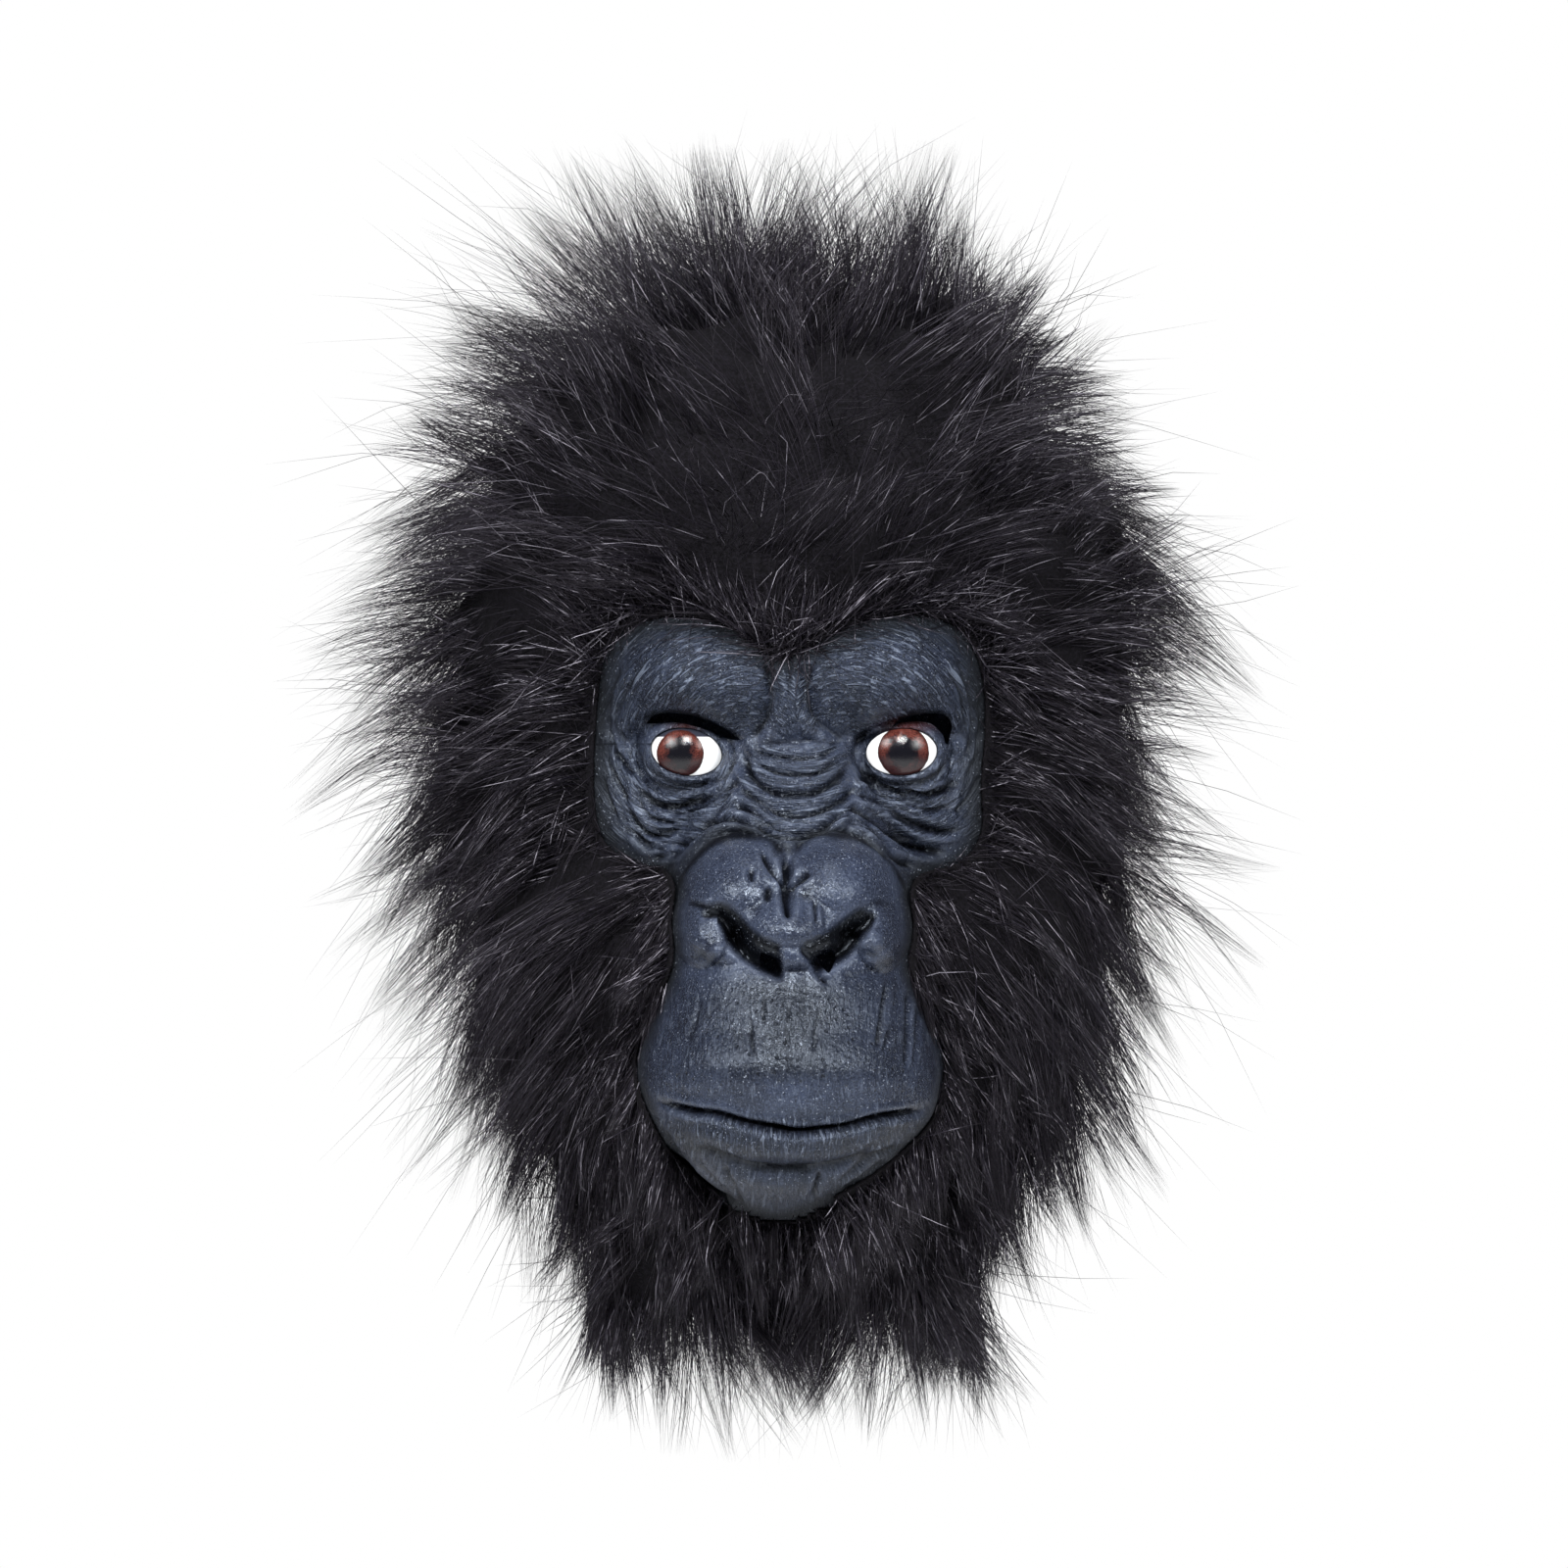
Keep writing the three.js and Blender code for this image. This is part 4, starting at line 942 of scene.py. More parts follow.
def eye_dome(side):
    count = 36
    u, v = np.meshgrid(np.linspace(-1, 1, count), np.linspace(-1, 1, count))
    disc = np.stack([u * np.sqrt(1 - v * v / 2), v * np.sqrt(1 - u * u / 2)], -1)
    x0, z0 = EYES[side]
    tilt = EYE_TILT[side]
    a, b = disc[..., 0] * (EYE_HALF_WIDTH - 0.3), disc[..., 1] * (EYE_HALF_HEIGHT - 0.3)
    x, z = x0 + a * math.cos(tilt) - b * math.sin(tilt), z0 + a * math.sin(tilt) + b * math.cos(tilt)
    ball = LID_RADIUS - 0.8
    y = LID_RADIUS - LID_FRONT - np.sqrt(ball**2 - (x - x0) ** 2 - (z - z0) ** 2)
    iris = from_picture(float(IRIS[side][0]), float(IRIS[side][1]), -96.0)
    share = 1 - ((x - iris[0]) ** 2 + (z - iris[2]) ** 2) / (IRIS_RADIUS[side] + 0.6) ** 2
    y -= 0.55 * np.maximum(share, 0) ** 0.8
    dome, _, _ = grid_of("eye_" + side + "_dome", np.stack([x, y, z], -1))
    edit(dome)
    bpy.ops.mesh.normals_make_consistent(inside=False)
    leave()
    if dome.data.polygons[count * count // 2].normal.y > 0:
        dome.data.flip_normals()
    shell = dome.modifiers.new("thickness", "SOLIDIFY")
    shell.thickness = EYE_DEPTH * MM
    shell.offset = -1
    pick_only(dome)
    bpy.ops.object.modifier_apply(modifier=shell.name)
    bpy.ops.object.shade_smooth_by_angle(angle=math.radians(60))
    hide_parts("eye_" + side)
    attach(dome, "root")
    return dome, iris


domes = {side: eye_dome(side) for side in EYES}
print("eyes:", {side: len(dome.data.polygons) for side, (dome, _) in domes.items()})

# %% [markdown]
# ## Fur: the pile
# Long pile fur is dark and closed near its backing. That part is a padded skin: the head's grid again, thicker away
# from the face and running out to nothing at the face's edge, so the rubber seems to go into the fur. It stands
# clear of the rubber by a fraction of a millimetre, as glued fur does.

# %% Unevenness of the fur
def unit(vectors):
    return vectors / np.maximum(np.linalg.norm(vectors, axis=-1, keepdims=True), 1e-9)


def wave(points, size, seed):
    """Smooth unevenness over the head, about -1 to 1, with waves about as long as size in millimetres."""
    random = np.random.default_rng(seed)
    ways = [unit(random.normal(size=3)) * 6.28 / (size * random.uniform(0.7, 1.4)) for _ in range(5)]
    return sum(np.sin(points @ way + random.uniform(0, 6.3)) for way in ways) / 2.2


# %% Thickness of the pile
HOOD_BOTTOM, COLLAR_TOP, COLLAR_BOTTOM = -262, -256, -304
PILE = {"side": 16, "back": 22, "crown": 19, "collar": 5}

fur_rows = row_heights(28, 104, 10, 8)
backing = head_points(fur_rows, 130, 40)
backing_normals = outward(backing)
for _ in range(6):
    ring = np.concatenate([backing_normals[:, -2:-1], backing_normals, backing_normals[:, 1:2]], 1)
    tall = np.concatenate([ring[:1], ring, ring[-1:]], 0)
    backing_normals = tall[:-2, 1:-1] + tall[2:, 1:-1] + tall[1:-1, :-2] + tall[1:-1, 2:] + 2 * tall[1:-1, 1:-1]
    backing_normals /= np.linalg.norm(backing_normals, axis=-1, keepdims=True)
from_face = np.where(backing[..., 1] < -10, outside_by(*to_picture(backing)), 999)
drawn = (from_face < 0) & (from_face > -9)
picture_x, picture_z = to_picture(backing)
for _ in range(3):
    probe = outside_by(picture_x, picture_z)
    slope_x = (outside_by(picture_x + 2, picture_z) - outside_by(picture_x - 2, picture_z)) / 4
    slope_z = (outside_by(picture_x, picture_z + 2) - outside_by(picture_x, picture_z - 2)) / 4
    picture_x = np.where(drawn, picture_x - probe * slope_x * 0.8, picture_x)
    picture_z = np.where(drawn, picture_z - probe * slope_z * 0.8, picture_z)
moved = from_picture(picture_x, picture_z, backing[..., 1])
backing[..., 0] = np.where(drawn, moved[..., 0], backing[..., 0])
backing[..., 2] = np.where(drawn, moved[..., 2], backing[..., 2])
backing[..., 1] = np.where(drawn, -face_depth(backing[..., 0], backing[..., 2]), backing[..., 1])
from_face = np.where(drawn, np.maximum(from_face, -0.01), from_face)
level = backing[..., 2]
behind = smooth_step(-20, 60, backing[..., 1])
above = smooth_step(-60, -5, level)
hood_pile = (PILE["side"] * (1 - behind) + PILE["back"] * behind) * (1 - above) + PILE["crown"] * above
thinned = 0.45 + 0.55 * smooth_step(HOOD_BOTTOM, HOOD_BOTTOM + 50, level)
hood_pile = hood_pile * smooth_step(-4, 95, from_face) * thinned
lumps = 0.6 * wave(backing, 46, 11) + 0.4 * wave(backing, 25, 12)
hood_pile = hood_pile * (1 + 0.45 * lumps)
print("pile is up to", round(float(hood_pile.max()), 1), "mm deep")


# %% Pile pieces
def pile_piece(name, kept, depth, node):
    """A closed skin on the kept part of the backing grid, its thickness given point by point."""
    thing, row, column = grid_of(name, backing + backing_normals * 0.45)
    edit(thing)
    bpy.ops.mesh.select_all(action="DESELECT")
    leave()
    stays = kept[row, column]
    for face in thing.data.polygons:
        face.select = not all(stays[v] for v in face.vertices)
    group = thing.vertex_groups.new(name="pile")
    most = float(depth.max())
    for v, share in enumerate(np.clip(depth[row, column] / most, 0.02, 1)):
        group.add([v], float(share), "REPLACE")
    bpy.ops.object.mode_set(mode="EDIT")
    bpy.ops.mesh.delete(type="FACE")
    bpy.ops.mesh.select_all(action="SELECT")
    bpy.ops.mesh.remove_doubles(threshold=2e-6)
    bpy.ops.mesh.normals_make_consistent(inside=False)
    leave()
    thick = thing.modifiers.new("pile", "SOLIDIFY")
    thick.thickness = most * MM
    thick.offset = 1
    thick.vertex_group = group.name
    pick_only(thing)
    bpy.ops.object.modifier_apply(modifier=thick.name)
    bpy.ops.object.shade_smooth()
    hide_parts(node)
    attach(thing, "root")
    return thing


hood_kept = (from_face > -1) & (level > HOOD_BOTTOM)
ragged_bottom = COLLAR_BOTTOM + 6 * (0.5 + 0.5 * np.sin(backing[..., 0] * 0.5 + 2 * np.sin(backing[..., 0] * 0.17)))
collar_kept = (level < COLLAR_TOP) & (level > ragged_bottom) & (from_face > 2)
collar_pile = PILE["collar"] * (1 + 0.4 * lumps) * smooth_step(-2, 40, from_face)
collar_pile = collar_pile * (1 - 0.8 * smooth_step(-272, -300, level))
fur_hood_pile = pile_piece("fur_hood_pile", hood_kept, hood_pile, "fur_hood")
fur_collar_pile = pile_piece("fur_collar_pile", collar_kept & (level < HOOD_BOTTOM - 1), collar_pile, "fur_collar")
print("pile faces:", len(fur_hood_pile.data.polygons), len(fur_collar_pile.data.polygons))

# %% [markdown]
# ## Fur: the strands
# The outline and the glitter of the fur come from single hairs. Hair curves and particles wouldn't leave Blender with
# the model, so each strand is a closed, three-sided, tapering tube of sixteen triangles, ten at the back. Hairs of one
# tuft lean to a common tip, tufts lean a little each its own way, and a few hairs stray. All flow away from the face,
# lift off the backing and hang more the lower they grow.

# %% Roots on the backing
def scatter(kept, depth, weight, count):
    """Random places on the kept part of the grid: root, normal, pile depth and pixels from the face."""
    a, b, c, d = backing[:-1, :-1], backing[1:, :-1], backing[1:, 1:], backing[:-1, 1:]
    area = np.linalg.norm(np.cross(c - a, b - d), axis=-1) / 2
    whole = kept[:-1, :-1] & kept[1:, :-1] & kept[1:, 1:] & kept[:-1, 1:]
    chance = area * whole * weight[:-1, :-1]
    cell = dice.choice(chance.size, count, p=(chance / chance.sum()).ravel())
    r, c = np.unravel_index(cell, chance.shape)
    u, v = dice.random(count), dice.random(count)

    def mixed(values):
        s, t = (u[:, None], v[:, None]) if values.ndim == 3 else (u, v)
        top = values[r, c] * (1 - s) + values[r, c + 1] * s
        low = values[r + 1, c] * (1 - s) + values[r + 1, c + 1] * s
        return top * (1 - t) + low * t

    normal = mixed(backing_normals)
    normal /= np.linalg.norm(normal, axis=1, keepdims=True)
    return mixed(backing), normal, mixed(depth), mixed(np.minimum(from_face, 400))


# %% Flow of the hair
FACE_MIDDLE, CROWN_MIDDLE = np.array([2.0, 0.0, -150.0]), np.array([2.0, 0.0, -72.0])
# height, pull downwards, length of the hair in millimetres
FLOW = [
    (-330, 5.0, 36), (-285, 4.2, 38), (-262, 3.0, 40), (-230, 1.9, 43), (-190, 1.0, 46), (-140, 0.55, 49),
    (-80, 0.3, 50), (-30, 0.12, 47), (10, -0.05, 43),
]
# degrees from straight up round the face, seen from the front, then the share of that length
ROUND_THE_FACE = [
    (-180, 1.25), (-166, 1.15), (-154, 0.8), (-140, 0.95), (-120, 1.0), (-90, 1.05), (-60, 0.92), (-42, 0.88),
    (-28, 1.3), (-18, 1.75), (-6, 1.75), (4, 1.3), (18, 1.15), (28, 1.0), (45, 0.85), (65, 0.86), (90, 0.9),
    (120, 0.85), (140, 0.85), (154, 0.8), (166, 1.15), (180, 1.25),
]
# axis and place in millimetres of planes that no strand crosses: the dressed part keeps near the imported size
LIMITS = [(0, 164), (0, -164), (1, 176), (1, -168), (2, 73), (2, -347)]


def first_direction(root, normal, gap):
    """The way a hair leaves the backing."""
    table = np.array(FLOW)
    pull = np.interp(root[:, 2], table[:, 0], table[:, 1])
    near = (1 - smooth_step(40, 190, gap))[:, None]
    from_middles = [unit((root - middle) * (1, 0, 1)) for middle in (FACE_MIDDLE, CROWN_MIDDLE)]
    spread = from_middles[0] * near + from_middles[1] * (1 - near) + np.array([0, 0.3, 0])
    rear = smooth_step(-10, 70, root[:, 1])[:, None]
    spread = spread * (1 - rear) + np.array([0, 0.25, -1.0]) * rear
    along = unit(spread - normal * np.sum(spread * normal, 1, keepdims=True))
    lift = 0.62 - 0.2 * smooth_step(0.3, 0.9, -normal[:, 1])
    lift = (lift * (1 - 0.65 * smooth_step(-235, -275, root[:, 2])))[:, None]
    inwards = smooth_step(-258, -296, root[:, 2]) * root[:, 0] / 60
    return unit(unit(along * (1 - lift) + normal * lift) + np.outer(pull, (0, 0, -1)) - np.outer(inwards, (1.1, 0, 0)))


STRAY_SHARE = 0.07
# the points of a strand, as shares of its length
STAGES = (0.0, 0.36, 0.7, 1.0)


def grow(root, normal, depth, gap, tufts):
    """Four points for each strand: it starts in the pile, bends under its weight and leans to its tuft's tip."""
    count = len(root)
    table = np.array(FLOW)
    length = np.interp(root[:, 2], table[:, 0], table[:, 2])
    turned_by = np.degrees(np.arctan2(root[:, 0], root[:, 2] - FACE_MIDDLE[2]))
    length *= np.interp(turned_by, *np.array(ROUND_THE_FACE).T)
    length *= 0.55 + 0.45 * smooth_step(0, 60, gap)
    length *= 1 + 0.2 * wave(root, 40, 4) + 0.1 * wave(root, 15, 5)
    stray = dice.random(count) < STRAY_SHARE
    length *= np.where(stray, dice.uniform(1.02, 1.34, count), dice.uniform(0.5, 1.14, count))
    sway = np.stack([wave(root, 52, 1), 0.4 * wave(root, 52, 2), wave(root, 52, 3)], -1)
    sway = sway * smooth_step(0, 70, gap)[:, None]
    direction = unit(first_direction(root, normal, gap) + 0.34 * sway)
    droop = (0.08 + 0.14 * smooth_step(20, -60, root[:, 2])) * smooth_step(-300, -240, root[:, 2])
    start = root + normal * np.maximum(depth - 2.5, 0.3)[:, None]

    tree = kdtree.KDTree(tufts)
    heads = dice.choice(count, tufts, replace=False)
    lean = dice.normal(0, 0.28, (tufts, 3))
    for i, head in enumerate(heads):
        tree.insert(start[head], i)
    tree.balance()
    mine = np.array([tree.find(p)[1] for p in start])
    loose = dice.normal(0, 1, (count, 3)) * np.where(stray, 0.4, 0.15)[:, None]
    own = unit(direction + lean[mine] + loose)
    head = heads[mine]
    shared = unit(direction[head] + lean[mine])
    reach = length[head] * 1.06
    pull = dice.uniform(0.5, 0.99, count) * np.where(stray, 0.1, 1)

    bend = dice.normal(0, 1, (count, 3)) * (np.where(stray, 0.24, 0.1) * length)[:, None]
    points = []
    for t in STAGES:
        free = start + own * (length * t)[:, None] + bend * t * t
        free[:, 2] -= droop * length * t * t
        tuft = start[head] + shared * (reach * t)[:, None]
        tuft[:, 2] -= droop[head] * reach * t * t
        share = (pull * t**1.3)[:, None]
        points.append(free * (1 - share) + tuft * share)
    return within_limits(np.stack(points, 1))


def within_limits(lines):
    """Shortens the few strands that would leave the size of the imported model."""
    root, tip = lines[:, 0], lines[:, -1]
    share = np.ones(len(lines))
    for axis, wall in LIMITS:
        reach = tip[:, axis] - root[:, axis]
        over = (tip[:, axis] > wall) if wall > 0 else (tip[:, axis] < wall)
        share = np.where(over, np.minimum(share, (wall - root[:, axis]) / np.where(over, reach, 1)), share)
    return lines[:, :1] + (lines - lines[:, :1]) * share[:, None, None]


# %% Strands as one mesh
# in millimetres, from the root on; the tip is a point
STRAND_RADII = (0.155, 0.145, 0.1)


def strand_piece(name, lines, node):
    """One mesh of closed, three-sided, tapering strands, with a ring at each point of a line but the last."""
    count, rings = len(lines), lines.shape[1] - 1
    along = unit(np.gradient(lines, axis=1))[:, :rings]
    side = unit(np.cross(along, np.array([0.31, -0.22, 0.92])))
    over = np.cross(along, side)
    spin = dice.uniform(0, 6.3, count)[:, None, None] + (np.array([0, 1, 2]) * 2 * math.pi / 3)[None, None, :]
    finer = np.clip(42 / np.linalg.norm(lines[:, -1] - lines[:, 0], axis=1), 0.75, 1.15)
    finer = finer * dice.uniform(0.8, 1.15, count)
    radii = np.interp(np.linspace(0, 1, rings), np.linspace(0, 1, len(STRAND_RADII)), STRAND_RADII)
    thick = radii[None, :, None, None] * finer[:, None, None, None]
    round_axis = side[:, :, None] * np.cos(spin)[..., None] + over[:, :, None] * np.sin(spin)[..., None]
    ring = lines[:, :rings, None] + thick * round_axis
    points = np.concatenate([ring.reshape(count, 3 * rings, 3), lines[:, -1:]], 1)
    sides = ((0, 1), (1, 2), (2, 0))
    quads = [(k + a, k + b, k + 3 + b, k + 3 + a) for k in range(0, 3 * rings - 3, 3) for a, b in sides]
    last = 3 * rings
    threes = [(last - 3, last - 2, last), (last - 2, last - 1, last), (last - 1, last - 3, last), (2, 1, 0)]
    pattern = np.array([v for face in quads + threes for v in face])
    sizes = np.array([4] * len(quads) + [3] * len(threes))
    corners = (pattern[None] + (last + 1) * np.arange(count)[:, None]).ravel()
    totals = np.tile(sizes, count)
    mesh = bpy.data.meshes.new(name)
    mesh.vertices.add(count * (last + 1))
    mesh.vertices.foreach_set("co", (points * MM).ravel())
    mesh.loops.add(len(corners))
    mesh.loops.foreach_set("vertex_index", corners)
    mesh.polygons.add(len(totals))
    mesh.polygons.foreach_set("loop_start", np.concatenate([[0], np.cumsum(totals)[:-1]]))
    mesh.polygons.foreach_set("loop_total", totals)
    mesh.polygons.foreach_set("use_smooth", np.ones(len(totals), bool))
    stage_of = np.append(np.repeat(np.linspace(0, 0.72, rings), 3), 1.0)
    layer = mesh.uv_layers.new(name="OFBake")
    u = 0.02 + 0.96 * stage_of[pattern]
    v = np.repeat(dice.random(count) * np.where(finer < 0.95, 0.9, 1), len(pattern))
    layer.data.foreach_set("uv", np.stack([np.tile(u, count), v], -1).ravel())
    mesh.update(calc_edges=True)
    mesh.validate()
    thing = bpy.data.objects.new(name, mesh)
    bpy.context.scene.collection.objects.link(thing)
    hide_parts(node)
    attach(thing, "root")
    print(name, count, "strands of", 6 * rings - 2, "triangles")
    return thing


def plainer(lines):
    """The same strands with one bend in place of two."""
    return np.stack([lines[:, 0], (lines[:, 1] + lines[:, 2]) / 2, lines[:, 3]], 1)


# %% Grow the hood and the collar
# strands before the head's middle and behind it, then tufts
COUNTS = {"hood": (19300, 19000, 720, 520), "collar": (7000, 5200, 260, 200)}
thatch = (1 + 1.1 * (1 - smooth_step(10, 90, from_face))) * (1 + 1.2 * (1 - np.abs(backing_normals[..., 1])) ** 2)
thatch *= (1 + 1.1 * smooth_step(-25, 12, level)) * (1 + 3 * smooth_step(-274, -290, level))
before = backing[..., 1] < 20
hair = {}
for part, kept, pile_depth in (("hood", hood_kept, hood_pile), ("collar", collar_kept, collar_pile)):
    front_count, back_count, front_tufts, back_tufts = COUNTS[part]
    hair[part, "front"] = grow(*scatter(kept & before, pile_depth, thatch, front_count), front_tufts)
    hair[part, "back"] = plainer(grow(*scatter(kept & ~before, pile_depth, thatch, back_count), back_tufts))
print("strands grown:", {key: len(lines) for key, lines in hair.items()})

# hairs, how much they spread, and their lengths in millimetres
FRINGE = {"top": (1400, 1.0, (13, 30)), "edge": (1200, 0.5, (7, 15))}


def fringe():
    """Short loose hairs that cross the edge of the rubber: a crossing thatch over the brows, a few elsewhere."""
    path = curve_through(OPENING + OPENING[:1], 8)
    top = path[path[:, 1] < 700]
    lines = []
    for places, (count, spread, lengths) in ((top, FRINGE["top"]), (path, FRINGE["edge"])):
        spot = places[dice.integers(0, len(places), count)]
        outwards = unit(spot - np.array([806, 880]))
        spot = spot + outwards * dice.uniform(1, 26, count)[:, None] + dice.normal(0, 3, spot.shape)
        across, down = spot.T
        start = from_picture(across, down, -100.0)
        for _ in range(4):
            start = from_picture(across, down, -face_depth(start[:, 0], start[:, 2]))
        start[:, 1] -= 1.2
        along = np.stack([outwards[:, 0], np.zeros(count), -outwards[:, 1]], 1)
        back = np.where(dice.random(count) < 0.22 * spread, -1, 1)[:, None]
        way = unit(along * back + dice.normal(0, 0.62 * spread + 0.15, (count, 3)) * (1, 0.25, 1) + (0, -0.42, 0))
        length = dice.uniform(*lengths, count)[:, None] * np.where(back < 0, 0.6, 1)
        curl = dice.normal(0, 0.12, (count, 3)) * length
        stages = [start + way * length * t + curl * t * t + (0, 0.2 * t * t, 0) * length for t in STAGES]
        lines.append(np.stack(stages, 1))
    return within_limits(np.concatenate(lines))


left_first = hair["hood", "front"][np.argsort(hair["hood", "front"][:, 0, 0])]
strands = [
    strand_piece("fur_hood_strands_left", left_first[: len(left_first) // 2], "fur_hood"),
    strand_piece("fur_hood_strands_right", left_first[len(left_first) // 2 :], "fur_hood"),
    strand_piece("fur_hood_strands_back", hair["hood", "back"], "fur_hood"),
    strand_piece("fur_collar_strands_front", hair["collar", "front"], "fur_collar"),
    strand_piece("fur_collar_strands_back", hair["collar", "back"], "fur_collar"),
    strand_piece("fur_fringe_strands", fringe(), "fur_hood"),
]

# %% [markdown]
# ## Finishes
# Every finish is worked out from the piece's own coordinates and masks. One effect, a fine unevenness, is used on
# rubber, eyes and fur alike, so it is a node group with its own inputs. The other functions each add one node and
# give back its output.

# %% Functions that add nodes
def node_in(tree, kind, **values):
    """A node with its properties or input values set."""
    made = tree.nodes.new(kind)
    for key, value in values.items():
        if hasattr(made, key):
            setattr(made, key, value)
        else:
            made.inputs[key.replace("_", " ")].default_value = value
    return made


def noise(tree, vector, scale, detail, roughness=0.5, distortion=0.0):
    made = node_in(
        tree, "ShaderNodeTexNoise", Scale=scale, Detail=detail, Roughness=roughness, Distortion=distortion
    )
    tree.links.new(vector, made.inputs["Vector"])
    return made.outputs["Fac"]


def stretched(tree, vector, scale, location=(0, 0, 0)):
    """A vector scaled and moved by a Mapping node."""
    made = node_in(tree, "ShaderNodeMapping", Scale=scale)
    made.inputs["Location"].default_value = location
    tree.links.new(vector, made.inputs["Vector"])
    return made.outputs[0]


def maths(tree, operation, a, b):
    """A Math node; a and b are sockets or numbers."""
    made = tree.nodes.new("ShaderNodeMath")
    made.operation = operation
    for socket, value in zip(made.inputs, (a, b)):
        if isinstance(value, (int, float)):
            socket.default_value = value
        else:
            tree.links.new(value, socket)
    return made.outputs[0]


def times(tree, a, b):
    return maths(tree, "MULTIPLY", a, b)


def plus(tree, a, b):
    return maths(tree, "ADD", a, b)


def minus(tree, a, b):
    return maths(tree, "SUBTRACT", a, b)


def blend_colours(tree, factor, low, high):
    made = tree.nodes.new("ShaderNodeMix")
    made.data_type = "RGBA"
    tree.links.new(factor, made.inputs[0])
    for socket, value in ((made.inputs[6], low), (made.inputs[7], high)):
        if isinstance(value, tuple):
            socket.default_value = (*value, 1)
        else:
            tree.links.new(value, socket)
    return made.outputs[2]


def graded(tree, value, stops):
    """A colour ramp with stops of (place, grey or colour)."""
    ramp = tree.nodes.new("ShaderNodeValToRGB")
    while len(ramp.color_ramp.elements) < len(stops):
        ramp.color_ramp.elements.new(0.5)
    for element, (place, colour) in zip(ramp.color_ramp.elements, stops):
        element.position = place
        element.color = (*colour, 1) if isinstance(colour, tuple) else (colour, colour, colour, 1)
    tree.links.new(value, ramp.inputs[0])
    return ramp.outputs[0]


def mask_of(tree, name):
    """One of the masks kept as attributes of the points."""
    return node_in(tree, "ShaderNodeAttribute", attribute_name=name).outputs["Fac"]


def finish_named(name):
    """A new material and its parts: tree, main shader and object coordinates."""
    material = bpy.data.materials.new(name)
    material.use_nodes = True
    tree = material.node_tree
    return material, tree, tree.nodes["Principled BSDF"], tree.nodes.new("ShaderNodeTexCoord").outputs["Object"]


def give_relief(tree, shader, height, distance, strength=1.0):
    relief = node_in(tree, "ShaderNodeBump", Strength=strength, Distance=distance)
    tree.links.new(height, relief.inputs["Height"])
    tree.links.new(relief.outputs[0], shader.inputs["Normal"])


def dress(things, finish):
    """Gives pieces this finish and no other."""
    for thing in things:
        thing.data.materials.clear()
        thing.data.materials.append(finish)


# %% A group for fine unevenness
uneven = bpy.data.node_groups.new("fine_unevenness", "ShaderNodeTree")
for name, way, kind in (
    ("Vector", "INPUT", "Vector"),
    ("Fine", "INPUT", "Float"),
    ("Coarse", "INPUT", "Float"),
    ("Height", "OUTPUT", "Float"),
    ("Patches", "OUTPUT", "Float"),
):
    uneven.interface.new_socket(name, in_out=way, socket_type="NodeSocket" + kind)
enter, leave_group = uneven.nodes.new("NodeGroupInput"), uneven.nodes.new("NodeGroupOutput")
for scale, output, detail, roughness in (("Fine", "Height", 3.0, 0.65), ("Coarse", "Patches", 4.0, 0.6)):
    values = node_in(uneven, "ShaderNodeTexNoise", Detail=detail, Roughness=roughness)
    uneven.links.new(enter.outputs["Vector"], values.inputs["Vector"])
    uneven.links.new(enter.outputs[scale], values.inputs["Scale"])
    uneven.links.new(values.outputs["Fac"], leave_group.inputs[output])


def unevenness(tree, vector, fine_scale, coarse_scale):
    """The group's fine height and its coarse patches, each from 0 to 1."""
    group = tree.nodes.new("ShaderNodeGroup")
    group.node_tree = uneven
    group.inputs["Fine"].default_value = fine_scale
    group.inputs["Coarse"].default_value = coarse_scale
    tree.links.new(vector, group.inputs["Vector"])
    return group.outputs["Height"], group.outputs["Patches"]


print("group:", uneven.name)

# %% [markdown]
# ### Rubber
# Satin rubber, brushed with a blue-grey coat over a nearly black one. Close up it is full of tiny pits and lines: hair
# lines that fan out over the brows from the inner corners of the eyes, pores over the lip and short creases on it.

# %% Relief of the rubber
rubber, tree, shader, place = finish_named("painted_rubber")
grain, patches = unevenness(tree, place, 1700.0, 75.0)

LINE_SCALE = (860, 210, 1)
flow = tree.nodes.new("ShaderNodeCombineXYZ")
tree.links.new(mask_of(tree, "crosswise"), flow.inputs[0])
tree.links.new(mask_of(tree, "lengthwise"), flow.inputs[1])
lines = noise(tree, stretched(tree, flow.outputs[0], LINE_SCALE), 1.0, 3.0, roughness=0.6, distortion=0.6)
cut_lines = graded(tree, lines, [(0.455, 1.0), (0.488, 0.0), (0.506, 0.0), (0.54, 1.0)])
# painted highlights on the crests of the fine lines
painted_crest_highlights = graded(tree, lines, [(0.575, 0.0), (0.63, 1.0)])

pits = node_in(tree, "ShaderNodeTexVoronoi", Scale=330.0)
tree.links.new(place, pits.inputs["Vector"])
pit_depth = graded(tree, pits.outputs["Distance"], [(0.07, 1.0), (0.22, 0.0)])
pore = times(tree, pit_depth, mask_of(tree, "pores"))

dents = noise(tree, place, 300.0, 2.0)
hammered = noise(tree, place, 680.0, 1.0)
lined = mask_of(tree, "lined")
line_height = plus(tree, times(tree, lines, 1.25), times(tree, cut_lines, 0.08))
height = plus(tree, times(tree, grain, 0.07), times(tree, hammered, 0.17))
height = plus(tree, height, times(tree, dents, 0.17))
height = plus(tree, height, times(tree, line_height, lined))
height = minus(tree, height, times(tree, pore, 0.3))
give_relief(tree, shader, height, 0.0016)

